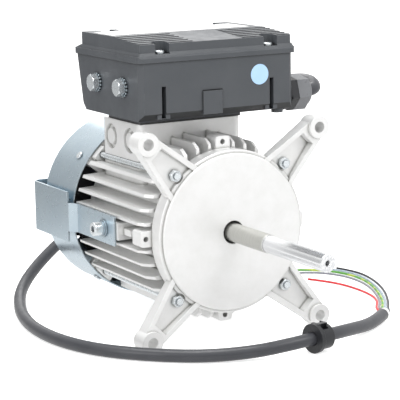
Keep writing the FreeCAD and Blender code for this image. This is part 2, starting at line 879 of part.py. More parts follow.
def rotor_core():
    """Rotor lamination stack with its bar holes."""
    core = ring_y(rotor_radius, rotor_seat_radius + fit_gap, stack_front_y, stack_rear_y)
    tools = bar_tools(rotor_bar_radius + slide_gap, stack_front_y - 1, stack_rear_y + 1)
    return core.cut(Part.makeCompound(tools))


def rotor_cage():
    """Bars and end rings cast in one."""
    outer = rotor_radius - 0.5
    front = ring_y(outer, end_ring_inner_radius, stack_front_y - end_ring_height, stack_front_y)
    rear = ring_y(outer, end_ring_inner_radius, stack_rear_y, stack_rear_y + end_ring_height)
    return joined([front, rear] + bar_tools(rotor_bar_radius, stack_front_y - 1.0, stack_rear_y + 1.0))


def slot_bars(gap, start, end):
    """Radial bars at the stator slots, smaller than the slots by a gap on each side."""
    half = slot_width / 2.0 - gap
    bar = block(slot_inner_radius + gap, slot_outer_radius - gap, start, end, -half, half)
    return [turn_y(bar, 360.0 * i / stator_slot_count) for i in range(stator_slot_count)]


def stator_core():
    """Stator lamination stack with open slots."""
    core = ring_y(housing_bore_radius - fit_gap, rotor_radius + running_gap, stack_front_y, stack_rear_y)
    return core.cut(Part.makeCompound(slot_bars(0.0, stack_front_y - 1.0, stack_rear_y + 1.0)))


def stator_windings():
    """Coil bars in the slots and the two overhang rings."""
    start = stack_front_y - overhang_length
    end = stack_rear_y + overhang_length
    inner = slot_inner_radius + 1.0
    clear = 0.5
    front = ring_y(overhang_outer_radius, inner, start, stack_front_y - clear)
    rear = ring_y(overhang_outer_radius, inner, stack_rear_y + clear, end)
    return joined([front, rear] + slot_bars(loose_gap, stack_front_y - 2.0, stack_rear_y + 2.0))


def rear_shield():
    """Rear end shield: spigot, bearing hub and four ears that carry bolts and cowl."""
    bore = rear_bearing["outer"] + fit_gap
    seat_end = rear_bearing_y + rear_bearing["width"] + preload_height
    spigot_outer = housing_bore_radius - slide_gap
    plate_end = housing_rear_y + shield_plate_thickness
    neck = rear_bearing["bore"] + 0.7
    body = turned([
        (bore, rear_bearing_y - 3.0),
        (bore, seat_end),
        (neck, seat_end),
        (neck, shield_rear_y),
        (shield_hub_radius, shield_rear_y),
        (shield_hub_radius + 3.0, plate_end),
        (housing_bore_radius + housing_wall, plate_end),
        (housing_bore_radius + housing_wall, housing_rear_y),
        (spigot_outer, housing_rear_y),
        (spigot_outer, housing_rear_y - spigot_length),
        (spigot_outer - spigot_wall, housing_rear_y - spigot_length),
        (spigot_outer - spigot_wall, housing_rear_y),
        (bore + hub_wall, housing_rear_y),
        (bore + hub_wall, rear_bearing_y - 3.0),
    ])
    reach = cowl_radius - cowl_wall - slide_gap
    rim = ring_y(reach, housing_bore_radius, housing_rear_y, housing_rear_y + shield_ear_depth)
    half = shield_ear_span / 2.0
    ears = []
    for degrees in four_corners():
        sector = block(housing_bore_radius, reach + 1.0, housing_rear_y,
                       housing_rear_y + shield_plate_thickness, -half, half)
        ears.append(turn_y(sector, degrees).common(rim))
    for degrees in cowl_screw_angles():
        post = block(reach - 9.0, reach + 1.0, housing_rear_y, housing_rear_y + shield_ear_depth, -5.0, 5.0)
        foot = block(housing_bore_radius, reach, housing_rear_y, housing_rear_y + shield_plate_thickness,
                     -5.0, 5.0)
        ears.append(turn_y(post.fuse(foot), degrees).common(rim))
    cuts = []
    for degrees in four_corners():
        cuts.append(turn_y(cyl_y(bolt_hole_radius, 0.0, plate_end + 1.0, x=bolt_circle_radius), degrees))
        cuts.append(turn_y(cyl_y(nut_notch_radius - 1.0, plate_end, plate_end + shield_ear_depth,
                                 x=bolt_circle_radius),
                           degrees))
    for degrees in cowl_screw_angles():
        cuts.append(turn_y(cyl_x(cowl_screw_radius + fit_gap, reach - cowl_screw_length - 1.0, reach + 2.0,
                                 y=cowl_screw_y), degrees))
    return joined([body] + ears).cut(Part.makeCompound(cuts)).removeSplitter()


def cowl_screw_angles():
    """The turns to the four cowl screws, each above or behind a bolt."""
    return [-(cowl_screw_angle + 90.0 * i) for i in range(4)]


def cooling_fan():
    """Radial fan: hub, disc and straight blades."""
    rear = fan_front_y + fan_hub_length
    hub = ring_y(fan_hub_radius, fan_seat_radius + fit_gap, fan_front_y, rear)
    disc = ring_y(fan_disc_radius, fan_hub_radius - 1.0, fan_front_y, fan_front_y + fan_disc_thickness)
    half = fan_blade_thickness / 2.0
    bevel_run, bevel_rise = fan_blade_bevel
    blade = polygon([
        (fan_hub_radius - 1.0, fan_front_y, -half),
        (fan_radius, fan_front_y, -half),
        (fan_radius, fan_front_y + fan_blade_width - bevel_rise, -half),
        (fan_radius - bevel_run, fan_front_y + fan_blade_width, -half),
        (fan_hub_radius + bevel_rise, fan_front_y + fan_blade_width, -half),
        (fan_hub_radius - 1.0, rear - 3.0, -half),
    ]).extrude(Vector(0, 0, fan_blade_thickness))
    blades = [turn_y(blade, 360.0 * i / fan_blade_count) for i in range(fan_blade_count)]
    return joined([hub, disc] + blades)


def fan_circlip():
    """Open retaining ring behind the fan hub."""
    start = fan_front_y + fan_hub_length + fit_gap
    ring = ring_y(circlip_radius, circlip_groove_radius + fit_gap, start, start + circlip_thickness)
    return ring.cut(block(0.0, circlip_radius + 1.0, start - 1.0, start + 2.0, -2.0, 2.0))


def fan_cover():
    """Drawn steel cowl, open to the front, rounded rear edge, slots in the rear wall."""
    shell = cyl_y(cowl_radius, cowl_front_y, cowl_rear_y)
    inside = cyl_y(cowl_radius - cowl_wall, cowl_front_y - 1.0, cowl_rear_y - cowl_wall)
    rear_edge = [e for e in shell.Edges if e.BoundBox.YMin > cowl_rear_y - 0.01]
    shell = shell.makeFillet(cowl_corner_radius, rear_edge)
    inner_edge = [e for e in inside.Edges if e.BoundBox.YMin > cowl_rear_y - cowl_wall - 0.01]
    inside = inside.makeFillet(cowl_corner_radius - cowl_wall, inner_edge)
    cowl = shell.cut(inside)
    cuts = []
    half = cowl_slot_width / 2.0
    for inner, outer in cowl_slot_rings:
        for i in range(cowl_slot_count):
            slot = block(inner, outer, cowl_rear_y - 5.0, cowl_rear_y + 1.0, -half, half)
            cuts.append(turn_y(slot, 360.0 * i / cowl_slot_count))
    for degrees in cowl_screw_angles():
        cuts.append(turn_y(cyl_x(cowl_screw_radius + loose_gap, cowl_radius - 5.0, cowl_radius + 2.0,
                                 y=cowl_screw_y), degrees))
    return cowl.cut(Part.makeCompound(cuts))


def fan_cover_screws():
    """Four small pan head screws through the cowl into the rear end shield."""
    reach = cowl_radius - cowl_wall - slide_gap
    shank = cyl_x(cowl_screw_radius, reach - cowl_screw_length, cowl_radius + 1.0, y=cowl_screw_y)
    head = cyl_x(cowl_screw_head_radius, cowl_radius + slide_gap, cowl_radius + cowl_screw_head_height,
                 y=cowl_screw_y)
    rim = [e for e in head.Edges if e.BoundBox.XMin > cowl_radius + cowl_screw_head_height - 0.01]
    head = head.makeFillet(1.2, rim)
    screw = joined([shank, head])
    return group([turn_y(screw, degrees) for degrees in cowl_screw_angles()])


def rear_bracket():
    """Joggled strap: screwed on both sides of the housing, round the back of the cowl."""
    t = strap_thickness
    inner_x = pad_radius
    outer_x = strap_outer_x
    half_profile = [
        (inner_x, strap_front_y),
        (inner_x, strap_joggle_y),
        (outer_x, strap_joggle_end_y),
        (outer_x, strap_web_y),
        (0.0, strap_web_y),
    ]
    offset_profile = [
        (0.0, strap_web_y + t),
        (outer_x + t, strap_web_y + t),
        (outer_x + t, strap_joggle_end_y - 0.7),
        (inner_x + t, strap_joggle_y - 0.7),
        (inner_x + t, strap_front_y),
    ]
    half_height = strap_rear_height / 2.0
    points = half_profile + offset_profile
    half_strap = polygon([(-x, y, -half_height) for x, y in points]).extrude(Vector(0, 0, strap_rear_height))
    inner_bend = [e for e in half_strap.Edges if e.BoundBox.ZLength > 1.0
                  and abs(e.BoundBox.XMin + outer_x) < 0.01 and abs(e.BoundBox.YMin - strap_web_y) < 0.01]
    outer_bend = [e for e in half_strap.Edges if e.BoundBox.ZLength > 1.0
                  and abs(e.BoundBox.XMin + outer_x + t) < 0.01
                  and abs(e.BoundBox.YMin - strap_web_y - t) < 0.01]
    half_strap = half_strap.makeFillet(strap_bend_radius, inner_bend)
    outer_bend = [e for e in half_strap.Edges if e.BoundBox.ZLength > 1.0
                  and abs(e.BoundBox.XMin + outer_x + t) < 0.01
                  and abs(e.BoundBox.YMin - strap_web_y - t) < 0.01]
    half_strap = half_strap.makeFillet(strap_bend_radius + t, outer_bend)
    narrow = strap_front_height / 2.0
    reach = outer_x + t + 1.0
    for sign in (-1, 1):
        low, high = sorted((sign * narrow, sign * (half_height + 1.0)))
        half_strap = half_strap.cut(block(-reach, 1.0, strap_front_y - 1.0, strap_joggle_end_y + 2.0,
                                          low, high))
    half_strap = half_strap.cut(cyl_x(strap_screw_hole_radius, -reach, -inner_x + 1.0, y=strap_screw_y))
    return joined([half_strap, mirror_x(half_strap)])


def bracket_washers():
    """A flat washer and a spring washer under each strap screw."""
    start = pad_radius + strap_thickness
    hole = strap_screw_radius + loose_gap
    pieces = []
    flat = cyl_x(flat_washer_radius, start, start + flat_washer_thickness, y=strap_screw_y)
    spring_start = start + flat_washer_thickness
    spring = cyl_x(spring_washer_radius, spring_start, spring_start + spring_washer_thickness,
                   y=strap_screw_y)
    for washer in (flat, spring):
        pieces.append(washer.cut(cyl_x(hole, start - 1.0, spring_start + 5.0, y=strap_screw_y)))
    return group(pieces + [mirror_x(p) for p in pieces])


def bracket_screws():
    """Socket head screws that hold the strap on both sides."""
    head_x = pad_radius + strap_thickness + flat_washer_thickness + spring_washer_thickness
    head = cyl_x(cap_head_radius, head_x, head_x + cap_head_height, y=strap_screw_y)
    rim = [e for e in head.Edges if e.BoundBox.XMin > head_x + cap_head_height - 0.01]
    head = head.makeFillet(0.8, rim)
    socket = prism_x([(y + strap_screw_y, z) for y, z in hexagon(cap_socket_flats)],
                     head_x + cap_head_height - cap_socket_depth, head_x + cap_head_height + 1.0)
    shank = cyl_x(strap_screw_radius, head_x - strap_screw_length, head_x + 1.0, y=strap_screw_y)
    screw = joined([head, shank]).cut(socket)
    return group([screw, mirror_x(screw)])


def box_section(inset):
    """The box base's outline seen from its end, moved inwards by a wall."""
    top = box_top_z + (1.0 if inset else 0.0)
    return [
        (box_front_y + inset, top),
        (box_front_y + inset, box_band_z + inset * 0.4),
        (box_front_y + box_band_inset + inset * 0.7, box_bottom_z + inset),
        (box_rear_low_y - box_rear_inset - inset * 0.7, box_bottom_z + inset),
        (box_rear_low_y - inset, box_band_z + inset * 0.4),
        (box_rear_top_y - inset, top),
    ]


def neck_limits():
    """The footprint of the box neck, from the pedestal's."""
    half = pedestal_width / 2.0 - neck_margin
    return (pedestal_center_x - half, pedestal_center_x + half,
            pedestal_front_y + neck_margin, pedestal_rear_y - neck_rear_inset)


def neck_opening():
    """The opening that pedestal, gasket, neck and box floor share."""
    half = pedestal_width / 2.0 - pedestal_side_wall
    return (pedestal_center_x - half, pedestal_center_x + half,
            pedestal_front_y + pedestal_end_wall, pedestal_rear_y - neck_rear_inset - neck_end_wall)


def fixing_places():
    """The four screws that hold the box, in the middle of the pedestal's side walls."""
    half = pedestal_width / 2.0 - pedestal_side_wall / 2.0
    return [(pedestal_center_x + sign * half, y) for sign in (-1, 1) for y in fixing_y]


def fixing_end_z():
    """Height of the fixing screws' lower ends."""
    return box_bottom_z + box_wall - fixing_length


def box_base():
    """Open plastic tray with a neck that seats on the pedestal."""
    shell = prism_x(box_section(0.0), -box_half_length, box_half_length)
    corners = [e for e in shell.Edges if e.BoundBox.ZLength > 20.0 and e.BoundBox.YMin < box_front_y + 0.1]
    shell = shell.makeChamfer(box_corner, corners)
    inner_half = box_half_length - box_wall
    shell = shell.cut(prism_x(box_section(box_wall), -inner_half, inner_half))
    x0, x1, y0, y1 = neck_limits()
    neck_low = pedestal_top_z + gasket_thickness
    floor_top = box_bottom_z + box_wall
    pieces = [shell, block(x0, x1, y0, y1, neck_low, box_bottom_z + 1.0)]
    gusset_y0 = y0 + 2.0
    gusset = prism_y([(x1 - 1.0, box_bottom_z + 1.0), (x1 - 1.0, neck_low + 1.0),
                      (x1 + gusset_length, box_bottom_z + 1.0)], gusset_y0, gusset_y0 + gusset_width)
    pieces.append(gusset)
    half = pillar_breadth / 2.0
    for sign in (-1, 1):
        x = sign * slot_x
        pieces.append(block(x - half, x + half, box_front_y + 1.0, box_front_y + pillar_depth,
                            box_bottom_z + 1.0, box_top_z))
        pieces.append(block(x - half, x + half, lid_screw_rear_y - half, box_rear_low_y - 1.0,
                            box_bottom_z + 1.0, box_top_z))
    pieces.append(block(tab_left_x, tab_right_x, box_front_y - tab_height, box_front_y + 1.0,
                        tab_low_z, tab_high_z))
    pieces.append(cyl_z(knob_radius, box_bottom_z - knob_drop, box_bottom_z + 1.0, x=knob_x, y=knob_y))
    body = joined(pieces)
    cuts = [block(*neck_opening(), neck_low - 1.0, floor_top + 1.0)]
    nut_end = inner_half - gland_locknut_thickness
    cuts.append(prism_x(locknut_hexagon(loose_gap), nut_end - loose_gap, inner_half))
    slot_half = slot_breadth / 2.0
    for sign in (-1, 1):
        x = sign * slot_x
        cuts.append(block(x - slot_half, x + slot_half, box_front_y - 1.0, box_front_y + slot_depth,
                          slot_low_z, slot_high_z))
        for y in (lid_screw_front_y, lid_screw_rear_y):
            cuts.append(cyl_z(lid_screw_radius + fit_gap, box_top_z - lid_screw_length, box_top_z + 1.0,
                              x=x, y=y))
    for y in earth_bolt_y:
        cuts.append(cyl_x(earth_bolt_radius + loose_gap, -box_half_length - 1.0, -inner_half + 1.0, y,
                          earth_bolt_z))
    cuts.append(cyl_x(gland_thread_radius + loose_gap, inner_half - 1.0, box_half_length + 1.0,
                      gland_y, gland_z))
    groove = block(tab_right_x, tab_right_x + 0.9, box_front_y - 1.0, box_front_y + 1.0,
                   tab_low_z, tab_high_z)
    cuts.append(groove)
    cuts.append(block(tab_left_x, tab_right_x + 0.9, box_front_y - 1.0, box_front_y + 1.0,
                      tab_high_z, tab_high_z + 0.9))
    for x, y in fixing_places():
        cuts.append(cyl_z(fixing_radius + loose_gap, neck_low - 1.0, floor_top + 1.0, x=x, y=y))
    return body.cut(Part.makeCompound(cuts)).removeSplitter()


def box_gasket():
    """Flat gasket between pedestal and box neck."""
    low = pedestal_top_z
    high = low + gasket_thickness
    frame = block(*neck_limits(), low, high).cut(block(*neck_opening(), low - 1.0, high + 1.0))
    holes = [cyl_z(fixing_radius + loose_gap, low - 1.0, high + 1.0, x=x, y=y) for x, y in fixing_places()]
    return frame.cut(Part.makeCompound(holes))


def box_fixing_screws():
    """Four screws from inside the box into the pedestal wall."""
    seat = box_bottom_z + box_wall
    screws = []
    for x, y in fixing_places():
        shank = cyl_z(fixing_radius, fixing_end_z(), seat + 0.5, x=x, y=y)
        head = cyl_z(fixing_head_radius, seat, seat + fixing_head_height, x=x, y=y)
        screws.append(joined([shank, head]))
    return group(screws)


def lid_top_z(y):
    """Height of the lid's sloping front part."""
    run = lid_flat_front_y - lid_raised_front_y
    share = min(max((y - lid_raised_front_y) / run, 0.0), 1.0)
    return lid_front_top_z + (lid_flat_top_z - lid_front_top_z) * share


def rectangle(half, front, rear, z):
    """A level rectangle's wire, as wide to both sides of the middle."""
    corners = [(-half, front), (half, front), (half, rear), (-half, rear)]
    return Part.makePolygon([Vector(x, y, z) for x, y in corners + corners[:1]])


def box_lid():
    """Ribbed lid with an overhanging flange and sunk screw seats."""
    flange_top = box_top_z + lid_flange_height
    edge = lid_edge_chamfer
    flange = prism_x([
        (lid_front_y, box_top_z),
        (lid_front_y, flange_top - edge),
        (lid_front_y + edge, flange_top),
        (lid_rear_y - edge, flange_top),
        (lid_rear_y, flange_top - edge),
        (lid_rear_y, box_top_z),
    ], -lid_half_length, lid_half_length)
    upright = [e for e in flange.Edges if e.BoundBox.ZLength > 3.0 and e.BoundBox.YLength < 0.1]
    flange = flange.makeFillet(lid_corner, upright)
    raised = prism_x([
        (lid_raised_front_y, box_top_z + 1.0),
        (lid_raised_front_y, lid_front_top_z),
        (lid_flat_front_y, lid_flat_top_z),
        (lid_raised_rear_y, lid_flat_top_z),
        (lid_raised_rear_y, box_top_z + 1.0),
    ], -lid_raised_half_length, lid_raised_half_length)
    upright = [e for e in raised.Edges if e.BoundBox.ZLength > 10.0]
    raised = raised.makeFillet(lid_corner - edge, upright)
    foot = rectangle(lid_half_length - edge, lid_front_y + edge, lid_rear_y - edge, flange_top - 0.1)
    crest = rectangle(lid_raised_half_length, lid_raised_front_y, lid_raised_rear_y, flange_top + lid_ledge)
    ledge = Part.makeLoft([foot, crest], True, True)
    pitch = (lid_flat_front_y - step_front_y) / step_count
    pieces = [flange, raised, ledge]
    for low, high in (left_steps, right_steps):
        for i in range(step_count):
            front = step_front_y + i * pitch
            top = lid_top_z(front + pitch)
            pieces.append(block(low, high, front, front + pitch, lid_top_z(front) - 1.0, top))
    body = joined(pieces)
    wall = lid_wall
    cavity = prism_x([
        (lid_raised_front_y + wall, box_top_z - 1.0),
        (lid_raised_front_y + wall, lid_front_top_z - wall - 0.5),
        (lid_flat_front_y, lid_flat_top_z - wall - 0.5),
        (lid_raised_rear_y - wall, lid_flat_top_z - wall - 0.5),
        (lid_raised_rear_y - wall, box_top_z - 1.0),
    ], -lid_raised_half_length + wall, lid_raised_half_length - wall)
    seats = []
    cuts = []
    for sign in (-1, 1):
        x = sign * lid_screw_x
        for y in (lid_screw_front_y, lid_screw_rear_y):
            seats.append(cyl_z(lid_notch_radius + wall, box_top_z, lid_flat_top_z - 2.0, x=x, y=y))
            cuts.append(cyl_z(lid_notch_radius, lid_notch_floor_z, lid_flat_top_z + 5.0, x=x, y=y))
            cuts.append(cyl_z(lid_screw_radius + loose_gap, box_top_z - 1.0, lid_flat_top_z, x=x, y=y))
            run = lid_notch_run if y > lid_flat_front_y else -lid_notch_run
            near, far = sorted((y, y + run))
            cuts.append(block(x - lid_notch_radius, x + lid_notch_radius, near, far,
                              lid_notch_floor_z, lid_flat_top_z + 5.0))
    cavity = cavity.cut(Part.makeCompound(seats))
    return body.cut(cavity).cut(Part.makeCompound(cuts)).removeSplitter()


def lid_screws():
    """Four screws in the lid's sunk seats."""
    screws = []
    for sign in (-1, 1):
        for y in (lid_screw_front_y, lid_screw_rear_y):
            x = sign * lid_screw_x
            shank_end = box_top_z - lid_screw_length + 4.0
            head_top = lid_notch_floor_z + lid_screw_head_height
            head = cyl_z(lid_screw_head_radius, lid_notch_floor_z, head_top, x=x, y=y)
            rim = [e for e in head.Edges if e.BoundBox.ZMin > head_top - 0.01]
            head = head.makeFillet(1.4, rim)
            shank = cyl_z(lid_screw_radius, shank_end, lid_notch_floor_z + 0.5, x=x, y=y)
            cross = block(x - 0.6, x + 0.6, y - 3.0, y + 3.0, head_top - 1.4, head_top + 1.0)
            cross = cross.fuse(block(x - 3.0, x + 3.0, y - 0.6, y + 0.6, head_top - 1.4, head_top + 1.0))
            screws.append(joined([head, shank]).cut(cross))
    return group(screws)


def earth_bolts():
    """Two hex bolts on the left end of the box."""
    bolts = []
    seat = -box_half_length - tooth_washer_thickness
    for y in earth_bolt_y:
        corners = [(b + y, c + earth_bolt_z) for b, c in hexagon(earth_bolt_flats)]
        head = prism_x(corners, seat - earth_head_height, seat)
        corner = earth_bolt_flats / math.sqrt(3.0)
        dome = Part.makeCone(corner - 1.0, corner + earth_head_height, earth_head_height + 1.0,
                             Vector(seat - earth_head_height, y, earth_bolt_z), Vector(1, 0, 0))
        shank = cyl_x(earth_bolt_radius, seat - 1.0, seat + earth_bolt_length, y, earth_bolt_z)
        bolts.append(joined([head.common(dome), shank]))
    return group(bolts)


def tooth_washers():
    """External tooth washers under the earth bolts."""
    washers = []
    start = -box_half_length - tooth_washer_thickness
    for y in earth_bolt_y:
        disc = cyl_x(tooth_washer_radius, start, -box_half_length, y, earth_bolt_z)
        disc = disc.cut(cyl_x(earth_bolt_radius + loose_gap, start - 1.0, start + 5.0, y, earth_bolt_z))
        notch = block(start - 1.0, -box_half_length + 1.0, y + tooth_washer_radius - tooth_depth,
                      y + tooth_washer_radius + 1.0, earth_bolt_z - 0.7, earth_bolt_z + 0.7)
        notches = []
        for i in range(tooth_count):
            copy = notch.copy()
            copy.rotate(Vector(0, y, earth_bolt_z), Vector(1, 0, 0), 360.0 * i / tooth_count)
            notches.append(copy)
        washers.append(disc.cut(Part.makeCompound(notches)))
    return group(washers)


def circuit_board():
    """Printed board of the drive, on four corner posts."""
    plate = block(-board_half_length, board_half_length, board_front_y, board_rear_y, board_z,
                  board_z + board_thickness)
    post_x = board_half_length - board_post_inset
    pieces = [plate]
    for sign in (-1, 1):
        for y in (board_front_y + board_post_inset, board_rear_y - board_post_inset):
            pieces.append(cyl_z(board_post_radius, box_bottom_z + box_wall, board_z + 0.5,
                                x=sign * post_x, y=y))
    return joined(pieces)


def board_top():
    """Height of the board's upper face."""
    return board_z + board_thickness


def capacitors():
    """Upright capacitors on the board."""
    seat = board_top()
    return group([cyl_z(capacitor_radius, seat, seat + capacitor_height, x=x, y=capacitor_y)
                  for x in capacitor_x])


def power_module():
    """Power stage with a finned heat sink on top."""
    seat = board_top()
    x0 = module_x - module_length / 2.0
    y0 = module_y - module_width / 2.0
    y1 = y0 + module_width
    pieces = [block(x0, x0 + module_length, y0, y1, seat, seat + module_height)]
    count = int(module_length / module_fin_pitch)
    for i in range(count):
        x = x0 + (i + 0.5) * module_length / count
        pieces.append(block(x - module_fin_thickness / 2.0, x + module_fin_thickness / 2.0, y0, y1,
                            seat + module_height - 0.5, seat + module_height + module_fin_height))
    return joined(pieces)


def terminal_wells():
    """Centres (y, z) of the terminal wells on the side that faces the gland."""
    pitch = terminal_length / terminal_ways
    start = terminal_y - terminal_length / 2.0
    return [(start + pitch * (i + 0.5), board_top() + terminal_well_height) for i in range(terminal_ways)]


def terminal_block():
    """Supply terminals on the board, open to the gland side and to the top."""
    seat = board_top()
    x0 = terminal_x - terminal_thickness / 2.0
    x1 = x0 + terminal_thickness
    y0 = terminal_y - terminal_length / 2.0
    body = block(x0, x1, y0, y0 + terminal_length, seat, seat + terminal_height)
    cuts = []
    for y, z in terminal_wells():
        cuts.append(cyl_x(terminal_well_radius, x1 - terminal_well_depth, x1 + 1.0, y, z))
        cuts.append(cyl_z(terminal_well_radius, z + terminal_well_radius + 1.0, seat + terminal_height + 1.0,
                          x=terminal_x, y=y))
    return body.cut(Part.makeCompound(cuts))


def core_offsets():
    """Places of the cores in the cable's section: to the side and upwards."""
    angles = [2.0 * math.pi * i / core_count for i in range(core_count)]
    return [(core_circle * math.cos(a), core_circle * math.sin(a)) for a in angles]


def supply_leads():
    """The cable's cores inside the box, from the gland's seal to the terminals."""
    start_x = gland_seal_ends()[0] - core_end_gap
    clear_x = box_half_length - box_wall - gland_inner_length - 2.0
    end_x = terminal_x + terminal_thickness / 2.0 - terminal_well_depth / 2.0
    offsets = sorted(core_offsets())
    leads = []
    for (a, b), (y, z) in zip(offsets, terminal_wells()):
        y0 = gland_y + a
        z0 = gland_z + b
        span = clear_x - end_x
        leads.append(tube("supply_lead", [
            (start_x, y0, z0),
            (clear_x, y0, z0),
            (clear_x - span * 0.22, y0 + (y - y0) * 0.15, z0 + (z - z0) * 0.4),
            (clear_x - span * 0.66, y0 + (y - y0) * 0.86, z0 + (z - z0) * 0.9),
            (clear_x - span * 0.82, y, z),
            (end_x, y, z),
        ], core_radius))
    return group(leads)


def winding_leads():
    """Three phase leads from the windings through the pedestal to the board."""
    return group([tube("winding_lead", [(x, lead_hole_y + y, z) for y, z in winding_lead_route],
                       winding_lead_radius)
                  for x in winding_lead_x])


def gland_stations():
    """The gland's faces along X, from the box outwards."""
    collar = box_half_length
    hexed = collar + gland_collar_length
    neck = hexed + gland_hex_length
    nut = neck + gland_nut_gap
    dome = nut + gland_nut_length
    return collar, hexed, neck, nut, dome, dome + gland_dome_length


def gland_hexagon():
    """Gland hexagon, turned so that its upper corner leans to the rear."""
    along = math.cos(math.radians(gland_hex_turn))
    aside = math.sin(math.radians(gland_hex_turn))
    return [(gland_y + b * along + c * aside, gland_z + c * along - b * aside)
            for b, c in hexagon(gland_flats)]


def locknut_hexagon(margin):
    """Locknut hexagon with flats up and down, grown by a margin on every side."""
    return [(gland_y + c, gland_z + b) for b, c in hexagon(gland_locknut_flats + 2.0 * margin)]


def gland_seal_ends():
    """The seal's two faces along X, inside the dome nut."""
    dome = gland_stations()[4]
    outer = dome - gland_seal_recess
    return outer - gland_seal_length, outer


def gland_body():
    """Gland body: thread through the wall, collar, hexagon and threaded spigot."""
    collar, hexed, neck, nut, dome, end = gland_stations()
    inside = collar - box_wall - gland_inner_length
    spigot_end = gland_seal_ends()[1] - gland_spigot_recess
    body = joined([
        cyl_x(gland_thread_radius, inside, collar + 1.0, gland_y, gland_z),
        cyl_x(gland_collar_radius, collar, hexed, gland_y, gland_z),
        prism_x(gland_hexagon(), hexed, neck),
        cyl_x(gland_spigot_radius, neck - 1.0, spigot_end, gland_y, gland_z),
    ])
    return body.cut(cyl_x(gland_bore_radius, inside - 1.0, end, gland_y, gland_z))


def gland_dome_nut():
    """Clamping nut: hexagon with a rounded mouth."""
    collar, hexed, neck, nut, dome, end = gland_stations()
    corner = gland_flats / math.sqrt(3.0)
    bevel = Part.makeCone(corner + gland_nut_length, corner - 1.5, gland_nut_length + 1.5,
                          Vector(nut, gland_y, gland_z), Vector(1, 0, 0))
    mouth = cyl_x(gland_dome_radius, dome - 1.0, end, gland_y, gland_z)
    rim = [e for e in mouth.Edges if e.BoundBox.XMin > end - 0.01]
    mouth = mouth.makeFillet(gland_dome_rounding, rim)
    body = joined([prism_x(gland_hexagon(), nut, dome).common(bevel), mouth])
    seal_end = gland_seal_ends()[1]
    spigot = cyl_x(gland_spigot_radius + slide_gap, nut - 1.0, seal_end - gland_spigot_recess + loose_gap,
                   gland_y, gland_z)
    seat = cyl_x(gland_bore_radius, nut, seal_end, gland_y, gland_z)
    throat = cyl_x(cable_radius + running_gap, nut, end + 1.0, gland_y, gland_z)
    return body.cut(spigot).cut(seat).cut(throat)


def gland_seal():
    """Rubber sleeve that grips the cable."""
    start, end = gland_seal_ends()
    return cyl_x(gland_bore_radius - slide_gap, start, end, gland_y, gland_z)


def gland_locknut():
    """Hex locknut inside the box."""
    wall_x = box_half_length - box_wall
    nut = prism_x(locknut_hexagon(0.0), wall_x - gland_locknut_thickness, wall_x)
    return nut.cut(cyl_x(gland_thread_radius + slide_gap, wall_x - gland_locknut_thickness - 1.0,
                         wall_x + 1.0, gland_y, gland_z))


def route_path(points):
    """Straight runs joined by tangent arcs, each as large as its runs allow. Gives the wire and radii."""
    vectors = [Vector(*p) for p in points]
    edges = []
    radii = []
    last = vectors[0]
    for before, corner, after in zip(vectors, vectors[1:], vectors[2:]):
        inward = (before - corner).normalize()
        outward = (after - corner).normalize()
        shorter = min((before - corner).Length, (after - corner).Length)
        half_turn = (math.pi - inward.getAngle(outward)) / 2.0
        setback = 0.45 * shorter
        radius = setback / math.tan(half_turn)
        start = corner + inward * setback
        end = corner + outward * setback
        bisector = (inward + outward).normalize()
        centre = corner + bisector * (radius / math.cos(half_turn))
        middle = centre - bisector * radius
        edges.append(Part.LineSegment(last, start).toShape())
        edges.append(Part.Arc(start, middle, end).toShape())
        radii.append(radius)
        last = end
    edges.append(Part.LineSegment(last, vectors[-1]).toShape())
    return Part.Wire(edges), radii


def tube(name, points, radius):
    """A round cord's solid along a route."""
    wire, radii = route_path(points)
    start = Vector(*points[0])
    direction = Vector(*points[1]) - start
    profile = Part.Wire(Part.makeCircle(radius, start, direction))
    solid = wire.makePipeShell([profile], True, False)
    expected = math.pi * radius ** 2 * wire.Length
    print(name, "length", round(wire.Length, 1), "volume share", round(solid.Volume / expected, 4),
          "radii", [round(r, 1) for r in radii])
    return solid


def cable_bushing():
    """Strain relief bushing on the cable: flange, clamp body, a latch and two pockets."""
    body_end = bushing_flange_length + bushing_body_length
    latch_half = bushing_pocket_width / 2.0 + 2.0
    top = bushing_body_radius + bushing_latch_height
    pieces = [
        cyl_x(bushing_flange_radius, 0.0, bushing_flange_length),
        cyl_x(bushing_body_radius, 0.0, body_end),
        block(bushing_flange_length - 1.0, body_end - 3.0, -latch_half, latch_half, 0.0, top),
    ]
    cuts = [cyl_x(cable_radius + bushing_bore_gap, -1.0, body_end + 1.0)]
    pocket_x = bushing_flange_length + 2.0
    half = bushing_pocket_width / 2.0
    for angle in bushing_pocket_angles:
        pocket = block(pocket_x, pocket_x + bushing_pocket_length, -half, half,
                       bushing_body_radius - bushing_pocket_depth, top + 5.0)
        pocket.rotate(Vector(0, 0, 0), Vector(1, 0, 0), angle)
        cuts.append(pocket)
    bushing = joined(pieces).cut(Part.makeCompound(cuts))
    start = Vector(*cable_to_bushing[-1])
    direction = (Vector(*cable_from_bushing[0]) - start).normalize()
    place = FreeCAD.Placement(start + direction * bushing_offset,
                              FreeCAD.Rotation(Vector(1, 0, 0), direction))
    return bushing.transformGeometry(place.toMatrix())


def core_starts():
    """Where the cores leave the sheath, outermost first, with the way that they go."""
    end = Vector(*cable_route[-1])
    direction = (end - Vector(*cable_route[-2])).normalize()
    side = Vector(direction.y, -direction.x, 0.0)
    places = sorted(core_offsets(), key=lambda place: (-round(place[0], 3), -place[1]))
    return [(end + direction * core_end_gap + side * a + Vector(0, 0, b), direction) for a, b in places]


